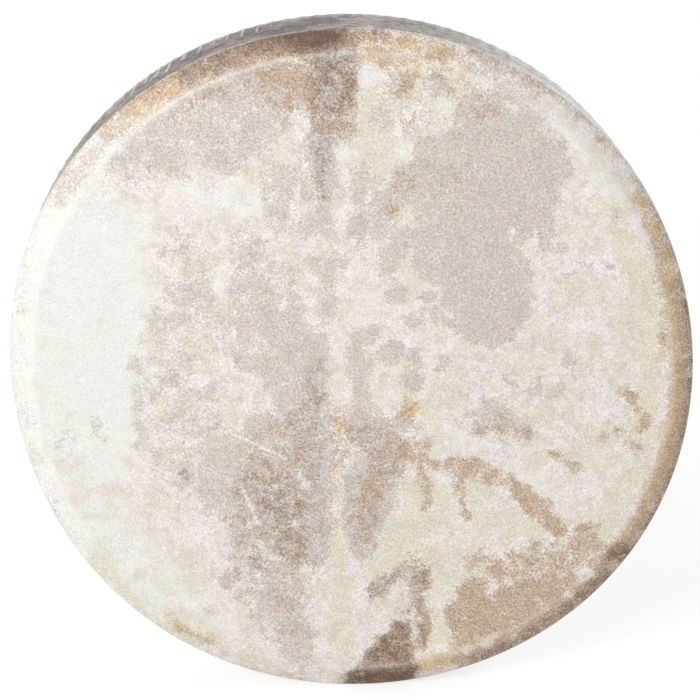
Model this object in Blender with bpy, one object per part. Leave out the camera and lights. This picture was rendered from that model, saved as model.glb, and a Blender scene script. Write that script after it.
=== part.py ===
"""A hand drum: rawhide head on a bent-wood hoop, laced at the back to a ring with four wrapped arms.

The drum stands upright. Its head faces -Y, its open back faces +Y, and the grip ring is at the origin.
The pieces are modelled round the local Z axis, from the back plane at zero to the head, and the
"drum" empty turns them upright.
"""

import math

import bmesh
import bpy
from mathutils import Matrix, Vector

# Whole drum, in metres, measured over the skin
DRUM_DIAMETER = 0.400
DRUM_DEPTH = 0.060

# How far the hand-bent hoop is out of round, and where it swells most, in degrees from +X
OVAL_SWELL = 0.0022
OVAL_ANGLE = 127.0
LOBES = 4
LOBE_SWELL = 0.0008
LOBE_ANGLE = 54.0

# Gap left between pieces that touch
SEAT_GAP = 0.0003

# Hoop of three glued laths
PLY_NAMES = ("outer_ply", "middle_ply", "inner_ply")
PLY_THICKNESS = 0.0045
PLY_SCARF_ANGLES = (205.0, 85.0, -25.0)
SCARF_LENGTH = 0.028
BEARING_LAND = 0.001
CROWN_DROP = 0.005
CROWN_SWELL = 0.0007
FRONT_ROUND = 0.0012
BACK_ROUND = 0.0025

# Pegs across the innermost scarf
PEG_DIAMETER = 0.006
PEG_PROUD = 0.0006
PEG_BITE = 0.0022
PEG_SPREAD = 0.009
PEG_RISE = 0.013

# Rawhide skin and its hem
SKIN_THICKNESS = 0.0011
HEM_SLOPE_RUN = 0.0085
HEM_BAND = 0.0105
HEM_BEND = 0.002
HOLE_MARGIN = 0.0055

# Lacing
ARM_NAMES = ("right", "top", "left", "bottom")
HOLES_PER_ARM = 6
LACE_DIAMETER = 0.003
LACE_GAP = 0.0004
HOLE_CLEARANCE = 0.0005
STRAND_GAP = 0.0005
HOLE_BEND = 0.0022
FAN_REACH = 0.006
TAIL_LENGTH = 0.012
BACK_CLEARANCE = 0.0009

# Grip ring and the wraps of its four arms
RING_DIAMETER = 0.056
RING_WIRE = 0.006
ARM_LEAD = 0.010
WRAP_CORD = 0.0034
WRAP_TURN_GAP = 0.0007
WRAP_TURNS = 7
WRAP_CLEARANCE = 0.0004
GRIP_CLEARANCE = 0.002

# Fineness of the round shapes
SEGMENTS = 60
CORNER_STEP = math.radians(35)
RING_SEGMENTS = 40
RING_SIDES = 8
HOLE_SIDES = 10
PEG_SIDES = 12
WRAP_POINTS = 12
CUT_OVERSHOOT = 0.002
LARGEST_BEND = 0.49  # share of the shorter leg that a bend may take up
STRAIGHT = 1e-4  # turn, in radians, that counts as none
SAME_POINT = 1e-6
FREE_STRETCH = 3  # diameters along a tube beyond which it may come near itself

# Sizes that follow from those above
SEAT = SKIN_THICKNESS + SEAT_GAP
HOOP_RADIUS = DRUM_DIAMETER / 2 - SEAT
HOOP_WALL = len(PLY_NAMES) * PLY_THICKNESS + (len(PLY_NAMES) - 1) * SEAT_GAP
HOOP_INNER_RADIUS = HOOP_RADIUS - HOOP_WALL
BEARING_RADIUS = HOOP_INNER_RADIUS + BEARING_LAND
HOOP_FRONT = DRUM_DEPTH - SEAT
HOOP_BACK = SEAT
HEM_INSET = BACK_CLEARANCE + LACE_DIAMETER + LACE_GAP
HEM_BEND_RADIUS = HOOP_INNER_RADIUS - HEM_SLOPE_RUN
HEM_EDGE_RADIUS = HEM_BEND_RADIUS - HEM_BAND
HOLE_RING_RADIUS = HEM_EDGE_RADIUS + HOLE_MARGIN
HOLE_STEP = math.tau / (len(ARM_NAMES) * HOLES_PER_ARM)
LACE_INSIDE = HEM_INSET + SKIN_THICKNESS + LACE_GAP + LACE_DIAMETER / 2
LACE_OUTSIDE = HEM_INSET - LACE_GAP - LACE_DIAMETER / 2
STRAND_PITCH = LACE_DIAMETER + STRAND_GAP
STRANDS_PER_LAYER = HOLES_PER_ARM // 2 + 1
RING_RADIUS = RING_DIAMETER / 2
LOOP_RADIUS = RING_WIRE / 2 + LACE_GAP + LACE_DIAMETER / 2
BUNDLE_HALF_WIDTH = STRAND_PITCH * (STRANDS_PER_LAYER - 1) / 2
BUNDLE_HALF_HEIGHT = STRAND_PITCH / 2
WRAP_RADIUS = LACE_DIAMETER / 2 + WRAP_CLEARANCE + WRAP_CORD / 2
WRAP_PITCH = WRAP_CORD + WRAP_TURN_GAP
WRAP_START = RING_RADIUS + ARM_LEAD + WRAP_CORD / 2
WRAP_END = WRAP_START + WRAP_TURNS * WRAP_PITCH
FAN_START = WRAP_END + WRAP_CORD / 2 + FAN_REACH
GRIP_HALF_DEPTH = max(
    LOOP_RADIUS + LACE_DIAMETER / 2,
    BUNDLE_HALF_HEIGHT + WRAP_RADIUS + WRAP_CORD / 2,
)
GRIP_INSET = GRIP_HALF_DEPTH + GRIP_CLEARANCE


def clear_scene():
    for old in list(bpy.data.objects):
        bpy.data.objects.remove(old, do_unlink=True)


def make_material(name, colour, roughness, metallic=0.0):
    material = bpy.data.materials.new(name)
    material.use_nodes = True
    shader = material.node_tree.nodes["Principled BSDF"]
    shader.inputs["Base Color"].default_value = (*colour, 1.0)
    shader.inputs["Roughness"].default_value = roughness
    shader.inputs["Metallic"].default_value = metallic
    return material


def make_drum_axis():
    """The empty whose local Z is the drum's axis, with the grip ring's centre at the world origin."""
    axis = bpy.data.objects.new("drum", None)
    axis.rotation_euler = (math.radians(90), 0.0, 0.0)
    axis.location = (0.0, GRIP_INSET, 0.0)
    bpy.context.scene.collection.objects.link(axis)
    return axis


def add_object(name, data, parent, material=None):
    obj = bpy.data.objects.new(name, data)
    obj.parent = parent
    if material:
        data.materials.append(material)
    bpy.context.scene.collection.objects.link(obj)
    return obj


def bent(point):
    """Where the hand-bent hoop puts a point of the true round drum."""
    angle = math.atan2(point.y, point.x)
    oval = OVAL_SWELL * math.cos(2 * (angle - math.radians(OVAL_ANGLE)))
    lobe = LOBE_SWELL * math.cos(LOBES * (angle - math.radians(LOBE_ANGLE)))
    share = math.hypot(point.x, point.y) / HOOP_RADIUS
    scale = 1.0 + share**2 * (oval + lobe) / HOOP_RADIUS
    return Vector((point.x * scale, point.y * scale, point.z))


def mesh_from(name, bm, smooth):
    for vertex in bm.verts:
        vertex.co = bent(vertex.co)
    bm.normal_update()
    bmesh.ops.recalc_face_normals(bm, faces=bm.faces)
    for face in bm.faces:
        face.smooth = smooth
    mesh = bpy.data.meshes.new(name)
    bm.to_mesh(mesh)
    bm.free()
    return mesh


def add_cutter(name, bm, parent):
    cutter = add_object(name, mesh_from(name, bm, False), parent)
    cutter.hide_render = True
    cutter.display_type = "WIRE"
    return cutter


def cut(obj, cutter):
    boolean = obj.modifiers.new(cutter.name, "BOOLEAN")
    boolean.operation = "DIFFERENCE"
    boolean.solver = "EXACT"
    boolean.object = cutter


def rounded(corners):
    """A line through (point, reach) corners, each bent as an arc that starts and ends its reach away."""
    line = [corners[0][0].copy()]
    for (before, _), (here, reach), (after, _) in zip(corners, corners[1:], corners[2:]):
        to_before = before - here
        to_after = after - here
        reach = min(reach, LARGEST_BEND * min(to_before.length, to_after.length))
        turn = math.pi - to_before.angle(to_after)
        if reach <= 0.0 or turn < STRAIGHT:
            line.append(here.copy())
            continue
        start = here + to_before.normalized() * reach
        end = here + to_after.normalized() * reach
        radius = reach / math.tan(turn / 2)
        middle = (to_before.normalized() + to_after.normalized()).normalized()
        centre = here + middle * math.hypot(reach, radius)
        steps = max(1, math.ceil(turn / CORNER_STEP))
        for step in range(steps + 1):
            share = step / steps
            first = math.sin((1 - share) * turn) / math.sin(turn)
            second = math.sin(share * turn) / math.sin(turn)
            line.append(centre + (start - centre) * first + (end - centre) * second)
    line.append(corners[-1][0].copy())
    return line


def hoop_outline():
    """The line (radius, height) that the skin lies on: head, shoulder, side, back edge and hem."""
    hem_height = HEM_INSET + SEAT
    shoulder_width = HOOP_RADIUS - BEARING_RADIUS
    shoulder_middle = Vector(
        (BEARING_RADIUS + shoulder_width / 2, HOOP_FRONT - CROWN_DROP / 2 + CROWN_SWELL)
    )
    return rounded(
        [
            (Vector((0.0, HOOP_FRONT)), 0.0),
            (Vector((BEARING_RADIUS, HOOP_FRONT)), 0.0),
            (shoulder_middle, 0.0),
            (Vector((HOOP_RADIUS, HOOP_FRONT - CROWN_DROP)), FRONT_ROUND),
            (Vector((HOOP_RADIUS, HOOP_BACK)), BACK_ROUND),
            (Vector((HOOP_INNER_RADIUS, HOOP_BACK)), HEM_BEND),
            (Vector((HEM_BEND_RADIUS, hem_height)), HEM_BEND),
            (Vector((HEM_EDGE_RADIUS, hem_height)), 0.0),
        ]
    )


def pushed_out(line, distance):
    """The outline moved outwards by an even distance, with mitred corners."""
    normals = []
    for start, end in zip(line, line[1:]):
        along = (end - start).normalized()
        normals.append(Vector((-along.y, along.x)))
    moved = []
    for index, point in enumerate(line):
        first = normals[max(index - 1, 0)]
        second = normals[min(index, len(normals) - 1)]
        moved.append(point + (first + second) * (distance / (1.0 + first.dot(second))))
    return moved


def clipped(polygon, limit, keep_above):
    """The part of a polygon with radius above, or below, a limit."""
    sign = 1.0 if keep_above else -1.0
    kept = []
    for here, after in zip(polygon, polygon[1:] + polygon[:1]):
        inside_here = sign * (here.x - limit) >= 0.0
        inside_after = sign * (after.x - limit) >= 0.0
        if inside_here:
            kept.append(here)
        if inside_here != inside_after:
            kept.append(here.lerp(after, (limit - here.x) / (after.x - here.x)))
    return kept


def spun(profile, closed):
    """The solid that a profile of (radius, height) points sweeps round the drum's axis."""
    bm = bmesh.new()
    points = [bm.verts.new((point.x, 0.0, point.y)) for point in profile]
    pairs = list(zip(points, points[1:]))
    if closed:
        pairs.append((points[-1], points[0]))
    edges = [bm.edges.new(pair) for pair in pairs]
    bmesh.ops.spin(
        bm,
        geom=points + edges,
        cent=(0.0, 0.0, 0.0),
        axis=(0.0, 0.0, 1.0),
        angle=math.tau,
        steps=SEGMENTS,
        use_merge=True,
    )
    bmesh.ops.remove_doubles(bm, verts=bm.verts, dist=SAME_POINT)
    return bm


def on_arm(arm, along, across, height):
    """A point given along and across one arm of the grip cross."""
    angle = math.tau * arm / len(ARM_NAMES)
    return Vector(
        (
            along * math.cos(angle) - across * math.sin(angle),
            along * math.sin(angle) + across * math.cos(angle),
            height,
        )
    )


def hole_offset(hole):
    """Angle of a lace hole from the middle of its arm."""
    return (hole - (HOLES_PER_ARM - 1) / 2) * HOLE_STEP


def at_hole(arm, hole, height):
    offset = hole_offset(hole)
    return on_arm(
        arm,
        HOLE_RING_RADIUS * math.cos(offset),
        HOLE_RING_RADIUS * math.sin(offset),
        height,
    )


def make_plies(drum, wood):
    polygon = hoop_outline()
    polygon.append(Vector((0.0, polygon[-1].y)))
    outside = HOOP_RADIUS
    for name, scarf_angle in zip(PLY_NAMES, PLY_SCARF_ANGLES):
        inside = outside - PLY_THICKNESS
        section = clipped(polygon, inside, True)
        if outside < HOOP_RADIUS:
            section = clipped(section, outside, False)
        ply = add_object(name, mesh_from(name, spun(section, True), False), drum, wood)
        cut(ply, make_scarf_cutter(name, scarf_angle, inside, outside, drum))
        outside = inside - SEAT_GAP


def make_scarf_cutter(ply_name, scarf_angle, inside, outside, drum):
    """A thin slanting plate that parts a lath into a ring with two overlapping tapered ends."""
    half = SCARF_LENGTH / (inside + outside)
    start = Vector((inside * math.cos(half), -inside * math.sin(half), DRUM_DEPTH / 2))
    end = Vector((outside * math.cos(half), outside * math.sin(half), DRUM_DEPTH / 2))
    along = end - start
    bm = bmesh.new()
    bmesh.ops.create_cube(bm, size=1.0)
    size = Matrix.Diagonal(
        (along.length + 2 * CUT_OVERSHOOT, SEAT_GAP, DRUM_DEPTH + 2 * CUT_OVERSHOOT, 1.0)
    )
    tilt = Matrix.Rotation(math.atan2(along.y, along.x), 4, "Z")
    place = Matrix.Translation((start + end) / 2)
    turn = Matrix.Rotation(math.radians(scarf_angle), 4, "Z")
    bm.transform(turn @ place @ tilt @ size)
    return add_cutter(ply_name + "_scarf_cutter", bm, drum)


def peg_places():
    """Direction round the hoop and height of each peg, two on each side of the innermost scarf."""
    scarf = math.radians(PLY_SCARF_ANGLES[-1])
    for side in (-1, 1):
        for level in (-1, 1):
            yield scarf + side * PEG_SPREAD / HOOP_INNER_RADIUS, DRUM_DEPTH / 2 + level * PEG_RISE


def radial_cylinder(angle, height, start, end, diameter):
    bm = bmesh.new()
    bmesh.ops.create_cone(
        bm,
        cap_ends=True,
        segments=PEG_SIDES,
        radius1=diameter / 2,
        radius2=diameter / 2,
        depth=end - start,
    )
    lay = Matrix.Rotation(math.radians(90), 4, "Y")
    place = Matrix.Translation(((start + end) / 2, 0.0, height))
    bm.transform(Matrix.Rotation(angle, 4, "Z") @ place @ lay)
    return bm


def make_pegs(drum, wood):
    start = HOOP_INNER_RADIUS - PEG_PROUD
    end = HOOP_RADIUS - PLY_THICKNESS + PEG_BITE
    for number, (angle, height) in enumerate(peg_places(), 1):
        name = f"scarf_peg_{number}"
        solid = radial_cylinder(angle, height, start, end, PEG_DIAMETER)
        add_object(name, mesh_from(name, solid, True), drum, wood)
        bore = radial_cylinder(
            angle,
            height,
            start - CUT_OVERSHOOT,
            end + SEAT_GAP,
            PEG_DIAMETER + 2 * SEAT_GAP,
        )
        cutter = add_cutter(name + "_cutter", bore, drum)
        for ply_name in PLY_NAMES:
            cut(bpy.data.objects[ply_name], cutter)


def make_head_skin(drum, hide):
    line = hoop_outline()
    profile = pushed_out(line, SEAT) + pushed_out(line, SEAT_GAP)[::-1]
    for end in (0, -1):
        profile[end].x = 0.0
    skin = add_object("head_skin", mesh_from("head_skin", spun(profile, False), True), drum, hide)
    holes = bmesh.new()
    middle = HEM_INSET + SKIN_THICKNESS / 2
    for arm in range(len(ARM_NAMES)):
        for hole in range(HOLES_PER_ARM):
            bmesh.ops.create_cone(
                holes,
                cap_ends=True,
                segments=HOLE_SIDES,
                radius1=LACE_DIAMETER / 2 + HOLE_CLEARANCE,
                radius2=LACE_DIAMETER / 2 + HOLE_CLEARANCE,
                depth=SKIN_THICKNESS + 2 * CUT_OVERSHOOT,
                matrix=Matrix.Translation(at_hole(arm, hole, middle)),
            )
    cut(skin, add_cutter("lace_hole_cutter", holes, drum))


def make_grip_ring(drum, steel):
    bpy.ops.mesh.primitive_torus_add(
        major_radius=RING_RADIUS,
        minor_radius=RING_WIRE / 2,
        major_segments=RING_SEGMENTS,
        minor_segments=RING_SIDES,
    )
    ring = bpy.context.object
    ring.name = "grip_ring"
    ring.parent = drum
    ring.location = (0.0, 0.0, GRIP_INSET)
    ring.data.materials.append(steel)
    for face in ring.data.polygons:
        face.use_smooth = True


def add_tube(name, line, diameter, drum, material):
    curve = bpy.data.curves.new(name, "CURVE")
    curve.dimensions = "3D"
    curve.bevel_depth = diameter / 2
    curve.bevel_resolution = 1
    curve.use_fill_caps = True
    spline = curve.splines.new("POLY")
    spline.points.add(len(line) - 1)
    line = [bent(place) for place in line]
    for point, place in zip(spline.points, line):
        point.co = (*place, 1.0)
    spline.use_smooth = True
    add_object(name, curve, drum, material)
    gap = least_gap(line, diameter)
    print(f"{name}: least gap to itself {gap * 1000:.2f} mm")


def least_gap(line, diameter):
    """The smallest gap between two stretches of one tube."""
    samples = []
    travelled = 0.0
    for start, end in zip(line, line[1:]):
        length = (end - start).length
        count = max(1, math.ceil(length / (diameter / 4)))
        for step in range(count):
            samples.append((travelled + length * step / count, start.lerp(end, step / count)))
        travelled += length
    closest = math.inf
    for index, (here_at, here) in enumerate(samples):
        for there_at, there in samples[index + 1 :]:
            if there_at - here_at > FREE_STRETCH * diameter:
                closest = min(closest, (there - here).length)
    return closest - diameter


def strand_across(loop):
    """Sideways place of one loop round the ring, counted from one side of the arm to the other."""
    return STRAND_PITCH * (loop - (STRANDS_PER_LAYER - 1) / 2)


def loop_corners(arm, loop, layer_in):
    """A lace's turn round the ring wire: in on one layer of the arm, out on the other."""
    across = strand_across(loop)
    ring = math.sqrt(RING_RADIUS**2 - across**2)
    lead = ring + ARM_LEAD
    strand = layer_in * BUNDLE_HALF_HEIGHT
    side = layer_in * LOOP_RADIUS
    return [
        (on_arm(arm, lead, across, GRIP_INSET + strand), 0.0),
        (on_arm(arm, ring + LACE_DIAMETER / 2, across, GRIP_INSET + side), 0.0),
        (on_arm(arm, ring - LOOP_RADIUS, across, GRIP_INSET + side), LOOP_RADIUS),
        (on_arm(arm, ring - LOOP_RADIUS, across, GRIP_INSET - side), LOOP_RADIUS),
        (on_arm(arm, ring + LACE_DIAMETER / 2, across, GRIP_INSET - side), 0.0),
        (on_arm(arm, lead, across, GRIP_INSET - strand), 0.0),
    ]


def fan_corner(arm, loop, layer):
    """Where a strand leaves the wrap and turns towards its hole."""
    height = GRIP_INSET + layer * BUNDLE_HALF_HEIGHT
    return on_arm(arm, FAN_START, strand_across(loop), height), FAN_REACH


def tail_end(arm, loop, layer):
    height = GRIP_INSET + layer * BUNDLE_HALF_HEIGHT
    return on_arm(arm, RING_RADIUS + ARM_LEAD + TAIL_LENGTH, strand_across(loop), height), 0.0


def stitch_corners(arm, hole):
    """Out through one hole of the hem, along its back and in through the next hole."""
    return [
        (at_hole(arm, hole, LACE_INSIDE), HOLE_BEND),
        (at_hole(arm, hole, LACE_OUTSIDE), HOLE_BEND),
        (at_hole(arm, hole + 1, LACE_OUTSIDE), HOLE_BEND),
        (at_hole(arm, hole + 1, LACE_INSIDE), HOLE_BEND),
    ]


def lace_line(arm):
    """One lace: tail, ring, then hem and ring by turns through the arm's holes, ring, tail."""
    corners = [tail_end(arm, 0, -1)]
    for loop in range(STRANDS_PER_LAYER):
        corners += loop_corners(arm, loop, -1)
        if loop == STRANDS_PER_LAYER - 1:
            break
        corners.append(fan_corner(arm, loop, 1))
        corners += stitch_corners(arm, 2 * loop)
        corners.append(fan_corner(arm, loop + 1, -1))
    corners.append(tail_end(arm, STRANDS_PER_LAYER - 1, 1))
    return rounded(corners)


def wrap_line(arm):
    """A cord wound round the strands of an arm, ending straight on the broad side."""
    line = []
    for step in range(WRAP_TURNS * WRAP_POINTS):
        angle = math.tau * (step + 0.5) / WRAP_POINTS + math.pi / 2
        across = math.copysign(BUNDLE_HALF_WIDTH, math.cos(angle)) + WRAP_RADIUS * math.cos(angle)
        height = math.copysign(BUNDLE_HALF_HEIGHT, math.sin(angle)) + WRAP_RADIUS * math.sin(angle)
        along = WRAP_START + WRAP_PITCH * (step + 0.5) / WRAP_POINTS
        line.append(on_arm(arm, along, across, GRIP_INSET + height))
    height_of_ends = line[0].z
    first = on_arm(arm, WRAP_START, 0.0, height_of_ends)
    last = on_arm(arm, WRAP_END, 0.0, height_of_ends)
    return [first] + line + [last]


def make_lacing(drum, rawhide, leather):
    for arm, arm_name in enumerate(ARM_NAMES):
        add_tube("lace_" + arm_name, lace_line(arm), LACE_DIAMETER, drum, rawhide)
        add_tube("wrap_" + arm_name, wrap_line(arm), WRAP_CORD, drum, leather)


def main():
    clear_scene()
    drum = make_drum_axis()
    hide = make_material("mottled rawhide", (0.68, 0.61, 0.52), 0.55)
    ash = make_material("bent ash", (0.47, 0.30, 0.16), 0.5)
    oak = make_material("oak peg", (0.30, 0.17, 0.08), 0.55)
    rawhide = make_material("rawhide lace", (0.62, 0.48, 0.30), 0.5)
    leather = make_material("brown leather", (0.14, 0.06, 0.03), 0.6)
    steel = make_material("dark steel", (0.24, 0.24, 0.25), 0.4, 1.0)
    make_plies(drum, ash)
    make_pegs(drum, oak)
    make_head_skin(drum, hide)
    make_grip_ring(drum, steel)
    make_lacing(drum, rawhide, leather)


main()
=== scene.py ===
"""Dresses a round hand drum: mottled rawhide over a bent-wood hoop, laced at the back to a steel ring.

The drum stands upright. Its head faces -Y and its open back faces +Y. Drum coordinates are across, up and
depth: depth is measured from the back plane towards the head, in metres.
"""

import math

import bmesh
import bpy
import numpy as np
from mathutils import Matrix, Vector, noise


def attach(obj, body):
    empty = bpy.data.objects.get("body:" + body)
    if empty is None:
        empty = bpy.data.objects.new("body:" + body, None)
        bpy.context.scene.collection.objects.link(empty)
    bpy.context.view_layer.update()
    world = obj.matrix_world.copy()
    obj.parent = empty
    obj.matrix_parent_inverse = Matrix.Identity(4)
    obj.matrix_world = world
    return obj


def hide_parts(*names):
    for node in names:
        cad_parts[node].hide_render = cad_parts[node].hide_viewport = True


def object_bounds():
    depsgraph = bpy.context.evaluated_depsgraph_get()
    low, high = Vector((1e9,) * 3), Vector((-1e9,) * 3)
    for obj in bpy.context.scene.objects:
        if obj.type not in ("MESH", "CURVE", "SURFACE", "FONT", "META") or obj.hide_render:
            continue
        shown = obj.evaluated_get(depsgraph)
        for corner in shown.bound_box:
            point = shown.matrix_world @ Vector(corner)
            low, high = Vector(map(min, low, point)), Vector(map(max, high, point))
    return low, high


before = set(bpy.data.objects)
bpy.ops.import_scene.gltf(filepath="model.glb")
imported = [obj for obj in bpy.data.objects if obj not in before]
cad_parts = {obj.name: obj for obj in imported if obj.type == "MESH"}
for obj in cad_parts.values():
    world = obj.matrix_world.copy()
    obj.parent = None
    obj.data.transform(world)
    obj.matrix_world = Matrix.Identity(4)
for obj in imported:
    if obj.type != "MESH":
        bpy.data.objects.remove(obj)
CAD_LOW, CAD_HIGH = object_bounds()

bl_info = {
    "name": "Hand drum",
    "version": (1, 0, 0),
    "blender": (4, 5, 0),
    "location": "3D View > Sidebar > Drum",
    "description": "Builds a rawhide frame drum with a laced cross grip",
    "category": "Add Mesh",
}

# The drum as it is built, in metres
DRUM_RADIUS = 0.200
DRUM_DEPTH = CAD_HIGH.y - CAD_LOW.y
BACK_PLANE = CAD_HIGH.y
SEAT_GAP = 0.0003
SKIN_THICKNESS = 0.0011
SEAT = SKIN_THICKNESS + SEAT_GAP
OVAL_SWELL = 0.0022
OVAL_ANGLE = math.radians(127)
LOBES = 4
LOBE_SWELL = 0.0008
LOBE_ANGLE = math.radians(54)

# Hoop of three laths
LATH_NAMES = ("outer", "middle", "inner")
LATH_THICKNESS = 0.0045
LATH_SCARF_ANGLES = (205.0, 85.0, -25.0)
SCARF_LENGTH = 0.028
HOOP_RADIUS = DRUM_RADIUS - SEAT
LATHS = len(LATH_NAMES)
HOOP_INNER_RADIUS = HOOP_RADIUS - LATHS * LATH_THICKNESS - (LATHS - 1) * SEAT_GAP
BEARING_SETBACK = 0.001
BEARING_RADIUS = HOOP_INNER_RADIUS + BEARING_SETBACK
HOOP_FRONT = DRUM_DEPTH - SEAT
HOOP_BACK = SEAT
CROWN_DROP = 0.005
CROWN_SWELL = 0.0007

# How far from each corner of the hoop the skin starts to bend, how far in its back is past the bend, and
# the most that a bend may take of a run
BEARING_BEND = 0.0009
CROWN_BEND = 0.005
OUTER_BEND = 0.0012
BACK_BEND = 0.0025
HEM_BEND = 0.002
BACK_FLAT = 0.003
BACK_TURN = 0.004
BEND_SHARE = 0.49

# Pegs across the innermost scarf
PEG_DIAMETER = 0.006
PEG_PROUD = 0.0006
PEG_LENGTH = 0.0122
PEG_SPREAD = 0.009
PEG_RISE = 0.013
PEG_DOME = 0.06
PEG_SEED = 3

# Hem with its lace holes
LACE_DIAMETER = 0.003
LACE_GAP = 0.0004
HEM_INSET = 0.0043
HEM_FALL = 0.0085
HEM_WIDTH = 0.0105
HOLE_MARGIN = 0.0055
HEM_BEND_RADIUS = HOOP_INNER_RADIUS - HEM_FALL
HEM_EDGE_RADIUS = HEM_BEND_RADIUS - HEM_WIDTH
HOLE_RING_RADIUS = HEM_EDGE_RADIUS + HOLE_MARGIN
HOLE_RADIUS = 0.0020
HOLE_PULL = 1.15
HOLES = 24
EDGE_UNEVENNESS = 0.0005

# Lacing, grip ring and wraps
ARM_NAMES = ("right", "top", "left", "bottom")
HOLES_PER_ARM = 6
STRANDS_PER_LAYER = 4
STRAND_PITCH = 0.0035
LACE_INSIDE = HEM_INSET + SKIN_THICKNESS + LACE_GAP + LACE_DIAMETER / 2
LACE_OUTSIDE = HEM_INSET - LACE_GAP - LACE_DIAMETER / 2
HOLE_BEND = 0.0022
FAN_REACH = 0.006
TAIL_LENGTH = 0.012
RING_RADIUS = 0.028
RING_WIRE = 0.006
WELD_ANGLE = math.radians(45)
WELD_WIDTH = math.radians(4)
WELD_SWELL = 0.10
ARM_LEAD = 0.010
LEAD_BEND = 0.004
WIRE_BEND = 0.0015
LOOP_RADIUS = RING_WIRE / 2 + LACE_GAP + LACE_DIAMETER / 2
WRAP_CORD = 0.0034
WRAP_PITCH = 0.0041
WRAP_TURNS = 7
WRAP_RADIUS = 0.0036
WRAP_TIP = 0.55
WRAP_TIP_STEPS = 6
WRAP_START = RING_RADIUS + ARM_LEAD + WRAP_CORD / 2
WRAP_END = WRAP_START + WRAP_TURNS * WRAP_PITCH
FAN_START = WRAP_END + WRAP_CORD / 2 + FAN_REACH
BUNDLE_HALF_WIDTH = STRAND_PITCH * (STRANDS_PER_LAYER - 1) / 2
BUNDLE_HALF_HEIGHT = STRAND_PITCH / 2
GRIP_DEPTH = BACK_PLANE
STRAND_GRAIN = 260.0
RING_UNEVENNESS = 0.0001
LACE_UNEVENNESS = 0.0005
THONG_UNEVENNESS = 0.0004

# Small values that keep divisions and comparisons safe
TINY = 1e-9
TOUCH = 1e-6
NUDGE = 1e-5
STRAIGHT = 1e-4

# Fineness of the meshes
HEAD_SEGMENTS = 576
SIDE_SEGMENTS = 1152
FLESH_SEGMENTS = 288
LATH_SEGMENTS = 360
FEWEST_SEGMENTS = 36
COARSE_RADIUS = DRUM_RADIUS * 0.46
MEMBRANE_STEP = 0.0024
SHOULDER_STEP = 0.0016
SIDE_STEP = 0.0034
FLESH_STEP = 0.005
FLESH_SIDE_STEP = 0.02
SECTION_STEP = 0.006
LACE_STEP = 0.0022
HEM_RUNGS = 5
HOLE_RINGS = 5
RING_SEGMENTS = 240
WRAP_STEPS = 40
RING_SIDES = 28
LACE_SIDES = 12
THONG_SIDES = 16
PEG_SIDES = 28
BEND_STEP = math.radians(14)
CREASE_ANGLE = math.radians(40)
PEG_CREASE_ANGLE = math.radians(50)

# Gathers of the hide: how unevenly they slant, stand apart, rise and start, and the run over which they rise
SLANT_SPREAD = 0.8
PITCH_SPREAD = 0.5
RISE_SPREAD = 0.4
START_SPREAD = 0.5
GATHER_START = 0.26
GATHER_RUN = 0.25

# Camera of the photograph, in metres
CAMERA_PLACE = (-0.0395, -1.2923, 0.3840)
CAMERA_AIM = (-0.0023, -0.0509, 0.0140)
CAMERA_LENS = 115.3
CAMERA_SENSOR = 36.0
CAMERA_CLIP = (0.05, 50.0)

# Stage: lamps with their place, size and power, then the floor and the surround
LAMPS = (
    ("key", (-1.5, -2.1, 1.1), 1.2, 54.0),
    ("back_fill", (1.4, 1.8, 1.0), 1.4, 24.0),
)
FLOOR_HALF_WIDTH = 4.0
FLOOR_GAP = 0.0005
FLOOR_BOUNCE = (0.8, 0.8, 0.8)
FLOOR_SHADOW = (0.40, 0.40, 0.40)
FLOOR_GLOW = 0.72
FLOOR_FADE = (0.30, 0.75)
SURROUND_LIGHT = 0.36

# Where the flat hide bends over the hoop's two front edges, and how wide the pale line runs there, rubbed
# hide with a painted highlight, in metres
BEARING_LINE = 0.1862
OUTER_LINE = 0.2010
BEARING_PALE_WIDTH = 0.0016
OUTER_PALE_WIDTH = 0.0007

# Tones and pigments, by the channels of two colour attributes, and the casts that tint them
TONES = ("white", "cream", "amber", "flesh")
# The wear channel holds pale edge lines that are partly rubbed hide and partly painted highlight
PIGMENTS = ("grey", "tan", "dark", "wear")
ROSE_TINT = (0.998, 0.986, 0.992)
OLIVE_TINT = (0.994, 1.0, 0.958)

# Squeeze of an amount round its middle, before noise breaks up the outline
AMOUNT_GAIN = 0.85
AMOUNT_LIFT = 0.075

# Layers of tone and pigment as they are laid on the bare hide: tone, number that sets its noise apart, the
# noise's scale and reach, softness of the patches' outlines, and the share that the hair roots leave
HIDE_LAYERS = (
    ("cream", 1, 62, 1.8, 0.25, 0.80),
    ("amber", 6, 80, 1.8, 0.28, 0.60),
    ("white", 2, 70, 2.1, 0.26, 0.90),
    ("grey", 3, 70, 1.7, 0.23, 0.75),
    ("tan", 4, 110, 1.9, 0.34, 0.70),
    ("dark", 5, 140, 1.65, 0.61, 0.78),
)

# Marks on the hide are in millimetres on the flat skin, across and up from the head's centre.
# The head ends at 186, the shoulder at 201 and the side at 255.
MILLIMETRE = 0.001

# How far noise carries the outlines of the marks, and where it is held back
WANDER_PITCH = 0.045
WANDER_REACH = 6.0
WANDER_SEED = 3.1
RAGGED_PITCH = 0.13
RAGGED_REACH = 5.0
RAGGED_SEED = 8.7
HEAD_REACH = 186.0
STEADY_RIM = 12.0
STEADY_SPINE = 36.0
LEAST_AT_RIM = 0.2
LEAST_AT_SPINE = 0.3
SPINE_PLACE = -8.0
SIDE_START = 201.2
SIDE_FADE = 0.6


def rim(start, end, out, half_width, step=4.0):
    """Discs along an arc of the rim, from one angle to another in degrees."""
    count = max(2, int(abs(end - start) / step) + 1)
    angles = [math.radians(start + (end - start) * index / (count - 1)) for index in range(count)]
    return tuple((out * math.cos(angle), out * math.sin(angle), half_width) for angle in angles)


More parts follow.
